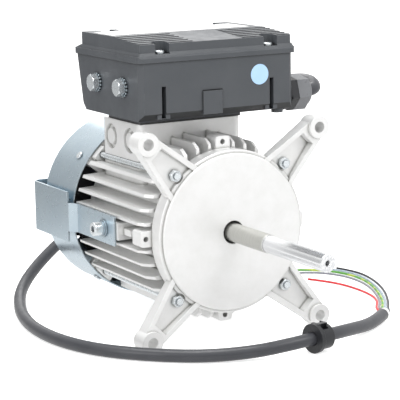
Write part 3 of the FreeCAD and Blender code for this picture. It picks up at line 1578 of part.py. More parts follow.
def core_wires():
    """The stripped cores: together out of the sheath, then spread over the floor."""
    bundle = Vector(*bundle_direction, 0.0).normalize()
    aside = Vector(bundle.y, -bundle.x, 0.0)
    sheath_end = Vector(*cable_route[-1])
    near, far = bundle_lengths
    wires = {}
    for index, (name, plan) in enumerate(core_routes.items()):
        start, direction = core_starts()[index]
        spread = floor_core_pitch * ((core_count - 1) / 2.0 - index)
        laid = sheath_end + bundle * far + aside * spread
        halfway = start + direction * near
        route = [start, halfway, Vector(laid.x, laid.y, floor_core_z)]
        route += [Vector(x, y, floor_core_z) for x, y in plan]
        wires[name] = tube(name, [tuple(p) for p in route], core_radius)
    return wires


def build_all():
    """Builds every node and writes it."""
    os.makedirs("parts", exist_ok=True)
    save("front_flange", front_flange())
    save("shaft_seal", shaft_seal())
    save("stator_housing", stator_housing())
    save("stator_core", stator_core())
    save("stator_windings", stator_windings())
    save("rear_shield", rear_shield())
    save("through_bolts", through_bolts())
    save("through_nuts", through_nuts())
    for prefix, size, start in (("front_bearing", front_bearing, front_bearing_y),
                                ("rear_bearing", rear_bearing, rear_bearing_y)):
        save(prefix + "_outer", bearing_outer(size, start))
        save(prefix + "_inner", bearing_inner(size, start))
        save(prefix + "_balls", bearing_balls(size, start))
        save(prefix + "_cage", bearing_cage(size, start))
    save("bearing_shields", bearing_shields())
    save("preload_washer", preload_washer())
    save("shaft", shaft())
    save("rotor_core", rotor_core())
    save("rotor_cage", rotor_cage())
    save("cooling_fan", cooling_fan())
    save("fan_circlip", fan_circlip())
    save("fan_cover", fan_cover())
    save("fan_cover_screws", fan_cover_screws())
    save("rear_bracket", rear_bracket())
    save("bracket_washers", bracket_washers())
    save("bracket_screws", bracket_screws())
    save("box_base", box_base())
    save("box_gasket", box_gasket())
    save("box_fixing_screws", box_fixing_screws())
    save("box_lid", box_lid())
    save("lid_screws", lid_screws())
    save("earth_bolts", earth_bolts())
    save("tooth_washers", tooth_washers())
    save("circuit_board", circuit_board())
    save("capacitors", capacitors())
    save("power_module", power_module())
    save("terminal_block", terminal_block())
    save("supply_leads", supply_leads())
    save("winding_leads", winding_leads())
    save("gland_body", gland_body())
    save("gland_dome_nut", gland_dome_nut())
    save("gland_seal", gland_seal())
    save("gland_locknut", gland_locknut())
    save("cable", tube("cable", cable_route, cable_radius))
    save("cable_bushing", cable_bushing())
    for name, wire in core_wires().items():
        save(name, wire)


build_all()
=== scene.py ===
"""Oven fan motor dressed for the camera: cords, fine pieces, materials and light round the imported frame."""
import json
import math
import bpy
import bmesh
from mathutils import Matrix, Vector


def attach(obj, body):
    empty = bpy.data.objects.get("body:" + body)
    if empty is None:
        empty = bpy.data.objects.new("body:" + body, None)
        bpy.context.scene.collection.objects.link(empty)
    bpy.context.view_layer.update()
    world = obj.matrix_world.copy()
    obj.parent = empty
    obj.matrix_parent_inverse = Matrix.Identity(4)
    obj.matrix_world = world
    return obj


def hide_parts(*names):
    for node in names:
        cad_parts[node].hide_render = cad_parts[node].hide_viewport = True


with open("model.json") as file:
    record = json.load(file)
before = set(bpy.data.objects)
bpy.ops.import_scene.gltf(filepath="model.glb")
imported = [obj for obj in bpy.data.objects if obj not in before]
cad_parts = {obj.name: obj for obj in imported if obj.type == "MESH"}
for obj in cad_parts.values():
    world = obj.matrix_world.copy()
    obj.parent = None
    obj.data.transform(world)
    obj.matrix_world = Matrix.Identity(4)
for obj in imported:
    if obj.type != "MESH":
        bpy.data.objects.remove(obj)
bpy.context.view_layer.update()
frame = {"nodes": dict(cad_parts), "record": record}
nodes = frame["nodes"]

MM = 0.001

# Camera, fitted to the photograph
camera_azimuth = math.radians(-29.72)
camera_elevation = math.radians(10.88)
camera_roll = math.radians(-1.0)
camera_distance = 1.5
camera_target = Vector((-0.03919, 0.0, 0.03557))
camera_lens = 150.58
sensor_width = 36.0

# Sizes shared with the solids, in millimetres
floor_z = -100.5
cable_diameter = 12.0
core_diameter = 2.3
core_circle = 3.4
core_count = 5
sheath_end_gap = 0.3
shoulder_y = -54.0
bundle_direction = (0.578, 0.816)
bundle_lengths = (14.0, 40.0)
floor_core_z = -99.35
floor_core_pitch = 3.0

cable_route = [
    (104.0, 55.0, 117.0),
    (121.0, 55.0, 117.0),
    (128.0, 66.0, 121.5),
    (132.0, 84.0, 123.5),
    (134.0, 108.0, 121.5),
    (132.0, 142.0, 116.0),
    (128.0, 188.0, 104.0),
    (120.0, 236.0, 80.0),
    (99.0, 284.0, 42.0),
    (60.0, 312.0, 2.0),
    (8.0, 316.0, -34.0),
    (-44.0, 301.0, -60.0),
    (-84.0, 274.0, -77.0),
    (-112.0, 243.0, -88.5),
    (-130.0, 205.0, -94.0),
    (-144.0, 163.0, -94.5),
    (-152.0, 117.0, -94.5),
    (-149.0, 66.0, -94.5),
    (-132.0, 20.0, -94.5),
    (-101.0, -18.0, -94.5),
    (-63.0, -48.0, -94.5),
    (-22.0, -65.0, -92.5),
    (11.0, -73.0, -88.5),
    (27.0, -74.5, -87.0),
    (59.0, -69.0, -87.0),
    (86.0, -58.0, -89.5),
    (113.0, -43.0, -93.5),
    (134.0, -29.5, -94.5),
    (150.0, -17.0, -94.5),
]

core_routes = {
    "wire_black": [(196.5, 36.8), (217.5, 71.3), (233.0, 106.0), (242.0, 138.0), (243.0, 163.0),
                   (236.0, 185.0)],
    "wire_blue": [(194.3, 38.3), (212.8, 70.8), (227.0, 104.0), (235.5, 134.0), (236.5, 158.0),
                  (230.0, 180.0), (216.0, 197.0)],
    "wire_green_yellow": [(192.1, 39.9), (208.6, 70.2), (222.0, 100.0), (229.5, 128.0), (230.0, 154.0),
                          (222.0, 178.0), (206.0, 196.0), (189.0, 205.0)],
    "wire_grey": [(189.9, 41.5), (204.0, 68.0), (216.0, 96.0), (222.5, 123.0), (222.0, 149.0),
                  (214.0, 170.0), (201.0, 184.0), (188.0, 190.0)],
    "wire_red": [(187.7, 43.0), (196.5, 63.0), (200.0, 88.0), (199.5, 114.0), (194.0, 138.0),
                 (182.0, 160.0)],
}

# The wrap round the cores, in millimetres
wrap_radii = (4.6, 4.9)
wrap_length = 8.0
wrap_sides = 40

# Labels, in metres
sticker_radius = 9.5 * MM
sticker_thickness = 0.00025
sticker_centre = (0.044, 0.03048, 0.140)
label_thickness = 0.0003
label_origin = (0.0, 0.090, 0.17862)
label_outline = [(-0.077, 0.0), (0.070, 0.0), (0.070, 0.039), (0.047, 0.039), (0.047, 0.052),
                 (-0.047, 0.052), (-0.047, 0.039), (-0.077, 0.039)]

# Edges sharper than this stay crisp
crisp_angle = math.radians(28.0)

# Radius of the floor in metres
floor_radius = 14.0

# Sockets of a mix node, which share their names and are told apart by number
mix_value_a, mix_value_b, mix_value_out = 2, 3, 0
mix_colour_a, mix_colour_b, mix_colour_out = 6, 7, 2

# Lamps: name, place and width in metres, power in watts
lamps = (
    ("key_lamp", (0.55, -1.25, 1.55), 0.9, 10.5),
    ("top_lamp", (-0.15, 0.15, 1.6), 1.1, 16.0),
    ("side_lamp", (-1.5, -0.5, 0.7), 0.9, 5.0),
    ("back_lamp", (0.6, 1.5, 0.9), 0.9, 3.0),
)
lamp_aim = Vector((0.0, 0.05, 0.03))


def place_camera():
    """The camera at the photograph's viewing angle."""
    back = Vector((math.sin(camera_azimuth) * math.cos(camera_elevation),
                   -math.cos(camera_azimuth) * math.cos(camera_elevation),
                   math.sin(camera_elevation)))
    right = Vector((math.cos(camera_azimuth), math.sin(camera_azimuth), 0.0))
    up = back.cross(right)
    rolled_right = math.cos(camera_roll) * right + math.sin(camera_roll) * up
    rolled_up = math.cos(camera_roll) * up - math.sin(camera_roll) * right
    data = bpy.data.cameras.new("camera")
    data.lens = camera_lens
    data.sensor_width = sensor_width
    data.clip_end = 100.0
    camera = bpy.data.objects.new("camera", data)
    rotation = Matrix((rolled_right, rolled_up, back)).transposed().to_4x4()
    camera.matrix_world = Matrix.Translation(camera_target + back * camera_distance) @ rotation
    bpy.context.scene.collection.objects.link(camera)
    bpy.context.scene.camera = camera


def link(obj):
    """Puts an object in the scene."""
    bpy.context.scene.collection.objects.link(obj)
    return obj


def cord_curve(name, points, diameter):
    """A smooth round cord along a route in millimetres.

    The bevel is one metre and the points scale it to the radius, because the cord's box is read off them.
    """
    data = bpy.data.curves.new(name, "CURVE")
    data.dimensions = "3D"
    data.resolution_u = 8
    data.bevel_depth = 1.0
    data.bevel_resolution = 6
    data.use_fill_caps = True
    spline = data.splines.new("NURBS")
    spline.points.add(len(points) - 1)
    for point, place in zip(spline.points, points):
        point.co = (*[value * MM for value in place], 1.0)
        point.radius = diameter / 2.0 * MM
    spline.order_u = 3
    spline.use_endpoint_u = True
    return link(bpy.data.objects.new(name, data))


def core_places():
    """Places of the cores in the cable's section, outermost first: to the side and upwards."""
    angles = [2.0 * math.pi * i / core_count for i in range(core_count)]
    places = [(core_circle * math.cos(a), core_circle * math.sin(a)) for a in angles]
    return sorted(places, key=lambda place: (-round(place[0], 3), -place[1]))


def core_route(index, plan):
    """Control points of one core: out of the sheath, down to the floor, then over it."""
    end = Vector(cable_route[-1])
    direction = (end - Vector(cable_route[-2])).normalized()
    side = Vector((direction.y, -direction.x, 0.0))
    across, upward = core_places()[index]
    start = end + direction * sheath_end_gap + side * across + Vector((0, 0, upward))
    bundle = Vector((*bundle_direction, 0.0)).normalized()
    aside = Vector((bundle.y, -bundle.x, 0.0))
    near, far = bundle_lengths
    spread = floor_core_pitch * ((core_count - 1) / 2.0 - index)
    laid = end + bundle * far + aside * spread
    route = [start, start + direction * near, Vector((laid.x, laid.y, floor_core_z))]
    route += [Vector((x, y, floor_core_z)) for x, y in plan]
    return [tuple(point) for point in route]


def make_wrap():
    """The thin white wrap round the cores, just past the end of the sheath."""
    end = Vector(cable_route[-1])
    direction = (end - Vector(cable_route[-2])).normalized()
    inner, outer = wrap_radii
    rim = [(outer, 0.0), (outer, wrap_length), (inner, wrap_length), (inner, 0.0)]
    mesh = bpy.data.meshes.new("cable_wrap")
    build = bmesh.new()
    rings = []
    for step in range(wrap_sides):
        angle = 2.0 * math.pi * step / wrap_sides
        ring = [build.verts.new((r * math.cos(angle) * MM, r * math.sin(angle) * MM, z * MM))
                for r, z in rim]
        rings.append(ring)
    for ring, following in zip(rings, rings[1:] + rings[:1]):
        for i in range(len(rim)):
            j = (i + 1) % len(rim)
            build.faces.new((ring[i], following[i], following[j], ring[j]))
    bmesh.ops.recalc_face_normals(build, faces=build.faces)
    build.to_mesh(mesh)
    build.free()
    turn = direction.to_track_quat("Z", "Y").to_matrix().to_4x4()
    mesh.transform(Matrix.Translation((end + direction * sheath_end_gap) * MM) @ turn)
    wrap = link(bpy.data.objects.new("cable_wrap", mesh))
    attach(wrap, "frame")
    return wrap


def make_cords():
    """The supply cable with its wrap, and its five cores."""
    wrap = make_wrap()
    cable = cord_curve("cable_sheath", cable_route, cable_diameter)
    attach(cable, "frame")
    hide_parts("cable")
    pieces = {"cable": cable, "wrap": wrap}
    for index, (name, plan) in enumerate(core_routes.items()):
        route = core_route(index, plan)
        core = cord_curve(name + "_core", route, core_diameter)
        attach(core, "frame")
        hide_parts(name)
        pieces[name] = core
    return pieces


class Shader:
    """A node material under construction, with its object coordinates."""

    def __init__(self, name):
        self.material = bpy.data.materials.new(name)
        self.material.use_nodes = True
        self.tree = self.material.node_tree
        self.bsdf = self.tree.nodes["Principled BSDF"]
        self.coords = self.add("ShaderNodeTexCoord").outputs["Object"]

    def add(self, kind, **settings):
        """A node with its properties set."""
        node = self.tree.nodes.new(kind)
        for key, value in settings.items():
            setattr(node, key, value)
        return node

    def join(self, source, target):
        """A link from an output to an input."""
        self.tree.links.new(source, target)

    def set(self, socket, value):
        """A uniform value on the shader's own socket."""
        self.bsdf.inputs[socket].default_value = value

    def noise(self, scale, detail=3.0, stretch=None):
        """Noise over the surface; stretch scales the coordinates along each axis first."""
        node = self.add("ShaderNodeTexNoise")
        node.inputs["Scale"].default_value = scale
        node.inputs["Detail"].default_value = detail
        vector = self.coords
        if stretch:
            mapping = self.add("ShaderNodeMapping")
            mapping.inputs["Scale"].default_value = stretch
            self.join(vector, mapping.inputs["Vector"])
            vector = mapping.outputs["Vector"]
        self.join(vector, node.inputs["Vector"])
        return node.outputs["Fac"]

    def remap(self, source, low, high, to_low=0.0, to_high=1.0):
        """A clamped linear remap."""
        node = self.add("ShaderNodeMapRange")
        node.inputs["From Min"].default_value = low
        node.inputs["From Max"].default_value = high
        node.inputs["To Min"].default_value = to_low
        node.inputs["To Max"].default_value = to_high
        self.join(source, node.inputs["Value"])
        return node.outputs["Result"]

    def blend(self, factor, first, second):
        """A colour mix by a factor; each side is a colour or an output."""
        node = self.add("ShaderNodeMix", data_type="RGBA")
        self.join(factor, node.inputs["Factor"])
        for socket, value in ((node.inputs[mix_colour_a], first), (node.inputs[mix_colour_b], second)):
            if isinstance(value, tuple):
                socket.default_value = (*value, 1.0)
            else:
                self.join(value, socket)
        return node.outputs[mix_colour_out]

    def combine(self, operation, first, second):
        """Two values combined and clamped; each is a number or an output."""
        node = self.add("ShaderNodeMath", operation=operation, use_clamp=True)
        for socket, value in zip(node.inputs, (first, second)):
            if isinstance(value, (int, float)):
                socket.default_value = value
            else:
                self.join(value, socket)
        return node.outputs[0]

    def rounding(self, radius):
        """Normals rounded over the edges."""
        node = self.add("ShaderNodeBevel", samples=4)
        node.inputs["Radius"].default_value = radius
        return node.outputs["Normal"]

    def edges(self, rounded):
        """One on sharp edges, zero on flats."""
        geometry = self.add("ShaderNodeNewGeometry")
        dot = self.add("ShaderNodeVectorMath", operation="DOT_PRODUCT")
        self.join(rounded, dot.inputs[0])
        self.join(geometry.outputs["Normal"], dot.inputs[1])
        return self.remap(dot.outputs["Value"], 0.995, 0.86)

    def corners(self, reach):
        """One in the open, near zero in a tight corner: the mask of the painted corner shade."""
        node = self.add("ShaderNodeAmbientOcclusion", samples=6)
        node.inputs["Distance"].default_value = reach
        return self.remap(node.outputs["AO"], 0.38, 0.92)

    def underside(self):
        """One on faces that look down, zero on the rest: the mask of the painted shade under things."""
        geometry = self.add("ShaderNodeNewGeometry")
        split = self.add("ShaderNodeSeparateXYZ")
        self.join(geometry.outputs["Normal"], split.inputs["Vector"])
        return self.remap(split.outputs["Z"], -0.10, -0.35)

    def bump(self, height, strength, distance, normal=None):
        """A bump on top of the given normals."""
        node = self.add("ShaderNodeBump")
        node.inputs["Strength"].default_value = strength
        node.inputs["Distance"].default_value = distance
        self.join(height, node.inputs["Height"])
        if normal:
            self.join(normal, node.inputs["Normal"])
        return node.outputs["Normal"]


def surface(name, base, mottle, edge, metallic, rough, grain, grain_depth, patches=35.0, radius=0.0004,
            edge_wear_and_highlight=0.6, corner_shade=None, under_shade=None):
    """A material with mottling, fine grain, changing roughness, and edges that are partly worn and partly a
    painted edge highlight.

    The corner colour is painted shade in tight corners, the under colour painted shade on faces that look
    down.
    """
    shader = Shader(name)
    broad = shader.remap(shader.noise(patches, 5.0), 0.35, 0.68)
    fine = shader.noise(grain, 2.0)
    rounded = shader.rounding(radius)
    # Edges lightened towards the edge colour in random patches: partly edge wear, partly a painted edge
    # highlight.
    rubbed_and_highlit = shader.remap(shader.noise(220.0, 3.0), 0.35, 0.6, 0.0, edge_wear_and_highlight)
    worn_and_highlit = shader.combine("MULTIPLY", shader.edges(rounded), rubbed_and_highlit)
    colour = shader.blend(worn_and_highlit, shader.blend(broad, base, mottle), edge)
    if corner_shade:
        # Painted shade: tight corners darkened towards the corner colour by ambient occlusion.
        colour = shader.blend(shader.corners(0.003), corner_shade, colour)
    # Painted shade: faces that look down darkened towards the under colour.
    if under_shade:
        colour = shader.blend(shader.underside(), colour, under_shade)
    shader.join(colour, shader.bsdf.inputs["Base Color"])
    polish = shader.remap(shader.noise(patches * 4.0, 3.0), 0.3, 0.7, *rough)
    shader.join(polish, shader.bsdf.inputs["Roughness"])
    shader.join(shader.bump(fine, 0.6, grain_depth, rounded), shader.bsdf.inputs["Normal"])
    shader.set("Metallic", metallic)
    return shader


def make_materials():
    """All materials by slot name."""
    slots = {}
    # Cast aluminium, both zincs and the dark plastic get painted shade in tight corners.
    slots["cast_aluminium"] = surface(
        "cast_aluminium", (0.89, 0.89, 0.885), (0.85, 0.85, 0.84), (0.96, 0.96, 0.96), 0.60, (0.40, 0.54),
        2300.0, 0.00016, patches=70.0, radius=0.0007, corner_shade=(0.36, 0.36, 0.34))
    slots["turned_steel"] = turned_steel()
    # The near-white edge colours of the zincs are partly wear, partly a painted edge highlight.
    slots["zinc_steel"] = surface(
        "zinc_steel", (0.58, 0.68, 0.74), (0.54, 0.64, 0.71), (0.97, 0.98, 0.99), 0.9, (0.26, 0.33),
        900.0, 0.000006, patches=45.0, radius=0.0006, edge_wear_and_highlight=1.0, corner_shade=(0.16, 0.19, 0.21))
    slots["bright_zinc"] = surface(
        "bright_zinc", (0.84, 0.88, 0.90), (0.78, 0.83, 0.86), (0.98, 0.98, 0.98), 0.85, (0.22, 0.30),
        900.0, 0.000006, patches=60.0, radius=0.0004, edge_wear_and_highlight=1.0, corner_shade=(0.10, 0.11, 0.12))
    # The dark plastic also gets painted shade on faces that look down.
    slots["dark_plastic"] = surface(
        "dark_plastic", (0.070, 0.076, 0.084), (0.060, 0.066, 0.074), (0.20, 0.205, 0.215), 0.0,
        (0.36, 0.48), 2600.0, 0.00005, patches=22.0, radius=0.0006, edge_wear_and_highlight=0.5,
        corner_shade=(0.018, 0.019, 0.021), under_shade=(0.016, 0.017, 0.019))
    slots["gland_plastic"] = surface(
        "gland_plastic", (0.018, 0.019, 0.022), (0.014, 0.015, 0.018), (0.10, 0.10, 0.11), 0.0, (0.30, 0.42),
        2200.0, 0.00003, patches=60.0, radius=0.0005, edge_wear_and_highlight=0.4)
    slots["black_rubber"] = surface(
        "black_rubber", (0.036, 0.036, 0.038), (0.045, 0.045, 0.047), (0.12, 0.12, 0.125), 0.0, (0.42, 0.55),
        1800.0, 0.00004, edge_wear_and_highlight=0.3)
    slots["gland_nut_plastic"] = surface(
        "gland_nut_plastic", (0.17, 0.175, 0.185), (0.15, 0.155, 0.165), (0.34, 0.35, 0.36), 0.0,
        (0.26, 0.36), 2200.0, 0.00003, patches=60.0, radius=0.0006, edge_wear_and_highlight=0.6)
    slots["cable_sheath"] = surface(
        "cable_sheath", (0.052, 0.054, 0.061), (0.042, 0.044, 0.051), (0.11, 0.11, 0.12), 0.0, (0.28, 0.38),
        1500.0, 0.00004, patches=40.0, edge_wear_and_highlight=0.2)
    slots["lamination_steel"] = surface(
        "lamination_steel", (0.33, 0.34, 0.36), (0.27, 0.28, 0.30), (0.5, 0.5, 0.5), 0.9, (0.35, 0.5),
        1600.0, 0.00003)
    slots["copper"] = surface(
        "copper", (0.66, 0.27, 0.12), (0.52, 0.20, 0.09), (0.8, 0.4, 0.2), 0.8, (0.3, 0.45), 1400.0, 0.0001)
    slots["fan_plastic"] = surface(
        "fan_plastic", (0.030, 0.030, 0.033), (0.024, 0.024, 0.027), (0.08, 0.08, 0.08), 0.0, (0.42, 0.55),
        2000.0, 0.00003)
    slots["bearing_steel"] = surface(
        "bearing_steel", (0.66, 0.67, 0.69), (0.60, 0.61, 0.63), (0.8, 0.8, 0.8), 1.0, (0.16, 0.26),
        900.0, 0.00001)
    slots["cage_steel"] = surface(
        "cage_steel", (0.50, 0.50, 0.50), (0.44, 0.44, 0.44), (0.65, 0.65, 0.65), 0.95, (0.3, 0.42),
        1200.0, 0.00002)
    slots["board_green"] = surface(
        "board_green", (0.02, 0.16, 0.07), (0.015, 0.12, 0.055), (0.1, 0.25, 0.12), 0.0, (0.3, 0.42),
        1200.0, 0.00003)
    slots["capacitor_sleeve"] = surface(
        "capacitor_sleeve", (0.03, 0.04, 0.12), (0.025, 0.034, 0.10), (0.1, 0.12, 0.2), 0.0, (0.2, 0.3),
        1200.0, 0.00001)
    slots["module_black"] = surface(
        "module_black", (0.06, 0.06, 0.065), (0.045, 0.045, 0.05), (0.3, 0.3, 0.3), 0.6, (0.4, 0.5),
        1500.0, 0.00003)
    slots["terminal_plastic"] = surface(
        "terminal_plastic", (0.09, 0.22, 0.10), (0.075, 0.19, 0.085), (0.2, 0.3, 0.2), 0.0, (0.35, 0.45),
        1800.0, 0.00003)
    insulation = {
        "lead_insulation": (0.03, 0.03, 0.033),
        "wire_black": (0.030, 0.030, 0.034),
        "wire_blue": (0.44, 0.52, 0.62),
        "wire_grey": (0.30, 0.31, 0.35),
        "wire_red": (0.86, 0.045, 0.05),
    }
    for name, colour in insulation.items():
        darker = tuple(value * 0.86 for value in colour)
        lighter = tuple(min(value * 1.3 + 0.02, 1.0) for value in colour)
        slots[name] = surface(name, colour, darker, lighter, 0.0, (0.32, 0.44), 1500.0, 0.00002,
                              patches=90.0, radius=0.0002, edge_wear_and_highlight=0.2)
    slots["wire_green_yellow"] = striped_insulation()
    return slots


def turned_steel():
    """Turned shaft: fine rings along Y, a bright ground seat streaked with painted reflections, a duller root
    and a painted edge highlight.
    """
    shader = Shader("turned_steel")
    rings = shader.noise(1.0, 2.0, stretch=(20.0, 9000.0, 20.0))
    coarse = shader.noise(1.0, 2.0, stretch=(12.0, 900.0, 12.0))
    painted_reflection_streaks = shader.noise(1.0, 1.0, stretch=(420.0, 3.0, 420.0))
    rounded = shader.rounding(0.0003)
    along = shader.add("ShaderNodeSeparateXYZ")
    shader.join(shader.coords, along.inputs["Vector"])
    root = shader.remap(along.outputs["Y"], shoulder_y * MM - 0.0004, shoulder_y * MM + 0.0004)
    # Painted reflection: the ground seat is streaked light and dark along its length.
    ground = shader.blend(shader.remap(painted_reflection_streaks, 0.42, 0.60), (0.80, 0.81, 0.83), (0.97, 0.98, 0.99))
    turned = shader.blend(shader.remap(coarse, 0.3, 0.7), (0.60, 0.60, 0.57), (0.47, 0.47, 0.44))
    colour = shader.blend(root, ground, turned)
    # Painted highlight: the shaft's edges lightened towards near white.
    colour = shader.blend(shader.edges(rounded), colour, (0.92, 0.92, 0.92))
    shader.join(colour, shader.bsdf.inputs["Base Color"])
    polish = shader.remap(rings, 0.3, 0.7, 0.16, 0.26)
    dull = shader.combine("MULTIPLY", root, 0.10)
    shader.join(shader.combine("ADD", polish, dull), shader.bsdf.inputs["Roughness"])
    shader.join(shader.bump(rings, 0.35, 0.000006, rounded), shader.bsdf.inputs["Normal"])
    shader.set("Metallic", 0.85)
    return shader


def striped_insulation():
    """Green insulation with yellow stripes that wander round the core."""
    shader = Shader("wire_green_yellow")
    wave = shader.add("ShaderNodeTexWave", bands_direction="DIAGONAL")
    wave.inputs["Scale"].default_value = 26.0
    wave.inputs["Distortion"].default_value = 2.0
    wave.inputs["Detail"].default_value = 1.0
    shader.join(shader.coords, wave.inputs["Vector"])
    stripe = shader.remap(wave.outputs["Fac"], 0.62, 0.70)
    colour = shader.blend(stripe, (0.12, 0.40, 0.05), (0.46, 0.58, 0.06))
    shader.join(colour, shader.bsdf.inputs["Base Color"])
    polish = shader.remap(shader.noise(300.0, 2.0), 0.3, 0.7, 0.32, 0.44)
    shader.join(polish, shader.bsdf.inputs["Roughness"])
    shader.join(shader.bump(shader.noise(1500.0, 2.0), 0.4, 0.00002), shader.bsdf.inputs["Normal"])
    return shader


def dress_nodes(slots):
    """Gives every CAD node its material, smooth shading and crisp edges."""
    places = {entry["node"]: entry["material_slot"] for entry in frame["record"]["subparts"]}
    places["gland_dome_nut"] = "gland_nut_plastic"
    for name in ("through_bolts", "through_nuts", "earth_bolts", "lid_screws", "fan_cover_screws",
                 "bracket_screws"):
        places[name] = "bright_zinc"
    for name, node in nodes.items():
        material = slots[places[name]].material
        node.data.materials.clear()
        node.data.materials.append(material)
        for polygon in node.data.polygons:
            polygon.use_smooth = True
            polygon.material_index = 0
        split = node.modifiers.new("crisp_edges", "EDGE_SPLIT")
        split.split_angle = crisp_angle


def dress_cords(cords, slots):
    """Materials of the cable and its cores."""
    cords["cable"].data.materials.append(slots["cable_sheath"].material)
    paper = surface("wrap_paper", (0.84, 0.84, 0.83), (0.78, 0.78, 0.77), (0.9, 0.9, 0.9), 0.0, (0.5, 0.6),
                    1400.0, 0.00002, patches=80.0, radius=0.0001)
    cords["wrap"].data.materials.append(paper.material)
    for name in core_routes:
        cords[name].data.materials.append(slots[name].material)


def plate(name, outline, depth, material, body, matrix):
    """A thin rounded plate from an outline in its own plane, raised by its depth."""
    mesh = bpy.data.meshes.new(name)
    build = bmesh.new()
    low = [build.verts.new((x, y, 0.0)) for x, y in outline]
    face = build.faces.new(low)
    raised = bmesh.ops.extrude_face_region(build, geom=[face])
    lifted = [item for item in raised["geom"] if isinstance(item, bmesh.types.BMVert)]
    bmesh.ops.translate(build, vec=(0, 0, depth), verts=lifted)
    top = [edge for edge in build.edges if all(vert.co.z > depth * 0.5 for vert in edge.verts)]
    bmesh.ops.bevel(build, geom=top, offset=depth * 0.4, segments=2, affect="EDGES", profile=0.5)
    bmesh.ops.recalc_face_normals(build, faces=build.faces)
    build.to_mesh(mesh)
    build.free()
    obj = link(bpy.data.objects.new(name, mesh))
    obj.data.transform(matrix)
    obj.data.materials.append(material)
    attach(obj, body)


def make_labels():
    """The bare round sticker on the box and the bare plate on the lid."""
    sticker = surface("sticker_film", (0.43, 0.64, 0.88), (0.41, 0.62, 0.86), (0.60, 0.76, 0.92), 0.0,
                      (0.28, 0.36), 700.0, 0.00001, patches=60.0, radius=0.0001)
    angles = [math.radians(degrees) for degrees in range(0, 360, 6)]
    ring = [(sticker_radius * math.cos(angle), sticker_radius * math.sin(angle)) for angle in angles]
    upright = Matrix.Translation(sticker_centre) @ Matrix.Rotation(math.radians(90), 4, "X")
    plate("sticker", ring, sticker_thickness, sticker.material, "frame", upright)
    film = surface("label_film", (0.86, 0.86, 0.85), (0.82, 0.82, 0.81), (0.9, 0.9, 0.9), 0.0, (0.26, 0.34),
                   700.0, 0.00001, patches=40.0, radius=0.0001)
    flat = Matrix.Translation(label_origin)
    plate("lid_label", label_outline, label_thickness, film.material, "frame", flat)


def make_world():
    """White for the camera and softer light for the rest.

    Reflections see a room that darkens towards its walls.
    """
    world = bpy.data.worlds.new("studio")
    bpy.context.scene.world = world
    world.use_nodes = True
    tree = world.node_tree
    background = tree.nodes["Background"]
    path = tree.nodes.new("ShaderNodeLightPath")
    seen = tree.nodes.new("ShaderNodeMath")
    seen.operation = "MAXIMUM"
    tree.links.new(path.outputs["Is Camera Ray"], seen.inputs[0])
    tree.links.new(path.outputs["Is Transmission Ray"], seen.inputs[1])
    way = tree.nodes.new("ShaderNodeTexCoord")
    upward = tree.nodes.new("ShaderNodeVectorMath")
    upward.operation = "DOT_PRODUCT"
    upward.inputs[1].default_value = (0.5, 0.0, 0.87)
    tree.links.new(way.outputs["Generated"], upward.inputs[0])
    room = tree.nodes.new("ShaderNodeMapRange")
    room.interpolation_type = "SMOOTHSTEP"
    room.inputs["From Min"].default_value = 0.02
    room.inputs["From Max"].default_value = 0.44
    room.inputs["To Min"].default_value = 0.50
    room.inputs["To Max"].default_value = 1.0
    tree.links.new(upward.outputs["Value"], room.inputs["Value"])
    lit = tree.nodes.new("ShaderNodeMix")
    lit.inputs[mix_value_a].default_value = 0.92
    tree.links.new(path.outputs["Is Glossy Ray"], lit.inputs["Factor"])
    tree.links.new(room.outputs["Result"], lit.inputs[mix_value_b])
    strength = tree.nodes.new("ShaderNodeMix")
    strength.inputs[mix_value_b].default_value = 1.0
    tree.links.new(seen.outputs["Value"], strength.inputs["Factor"])
    tree.links.new(lit.outputs[mix_value_out], strength.inputs[mix_value_a])
    tree.links.new(strength.outputs[mix_value_out], background.inputs["Strength"])
    background.inputs["Color"].default_value = (1.0, 1.0, 1.0, 1.0)


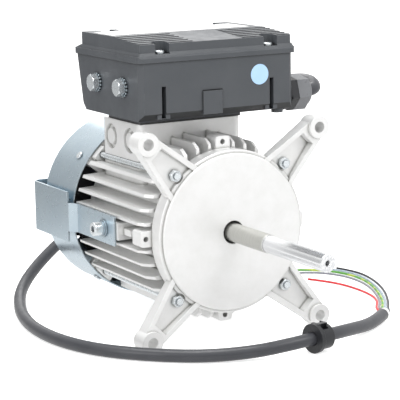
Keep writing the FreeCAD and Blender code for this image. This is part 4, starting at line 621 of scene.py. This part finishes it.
def make_floor():
    """White paper floor that glows a little for the camera.

    In reflections it is bright near the motor and fades behind it.
    """
    mesh = bpy.data.meshes.new("floor")
    build = bmesh.new()
    bmesh.ops.create_circle(build, cap_ends=True, radius=floor_radius, segments=96)
    build.to_mesh(mesh)
    build.free()
    floor = link(bpy.data.objects.new("floor", mesh))
    floor.location = (0.0, 0.0, floor_z * MM)
    material = bpy.data.materials.new("floor_paper")
    material.use_nodes = True
    tree = material.node_tree
    paper = tree.nodes["Principled BSDF"]
    paper.inputs["Base Color"].default_value = (0.86, 0.86, 0.86, 1.0)
    paper.inputs["Roughness"].default_value = 0.9
    paper.inputs["Emission Color"].default_value = (1.0, 1.0, 1.0, 1.0)
    path = tree.nodes.new("ShaderNodeLightPath")
    glow = tree.nodes.new("ShaderNodeMapRange")
    glow.inputs["To Max"].default_value = 0.62
    tree.links.new(path.outputs["Is Camera Ray"], glow.inputs["Value"])
    tree.links.new(glow.outputs["Result"], paper.inputs["Emission Strength"])
    place = tree.nodes.new("ShaderNodeTexCoord")
    depth = tree.nodes.new("ShaderNodeSeparateXYZ")
    tree.links.new(place.outputs["Object"], depth.inputs["Vector"])
    fade = tree.nodes.new("ShaderNodeMapRange")
    fade.interpolation_type = "SMOOTHSTEP"
    fade.inputs["From Min"].default_value = 0.35
    fade.inputs["From Max"].default_value = 0.75
    fade.inputs["To Min"].default_value = 1.0
    fade.inputs["To Max"].default_value = 0.40
    tree.links.new(depth.outputs["Y"], fade.inputs["Value"])
    mirrored = tree.nodes.new("ShaderNodeEmission")
    tree.links.new(fade.outputs["Result"], mirrored.inputs["Strength"])
    either = tree.nodes.new("ShaderNodeMixShader")
    tree.links.new(path.outputs["Is Glossy Ray"], either.inputs["Fac"])
    tree.links.new(paper.outputs["BSDF"], either.inputs[1])
    tree.links.new(mirrored.outputs["Emission"], either.inputs[2])
    tree.links.new(either.outputs["Shader"], tree.nodes["Material Output"].inputs["Surface"])
    mesh.materials.append(material)


def make_lamps():
    """Soft round lamps, the key from the right front."""
    for name, place, width, power in lamps:
        data = bpy.data.lights.new(name, "AREA")
        data.shape = "DISK"
        data.size = width
        data.energy = power
        lamp = link(bpy.data.objects.new(name, data))
        aim = lamp_aim - Vector(place)
        lamp.matrix_world = Matrix.Translation(place) @ aim.to_track_quat("-Z", "Y").to_matrix().to_4x4()


place_camera()
cords = make_cords()
slots = make_materials()
dress_nodes(slots)
dress_cords(cords, slots)
make_labels()
make_world()
make_floor()
make_lamps()
bpy.context.scene.view_settings.view_transform = "Standard"
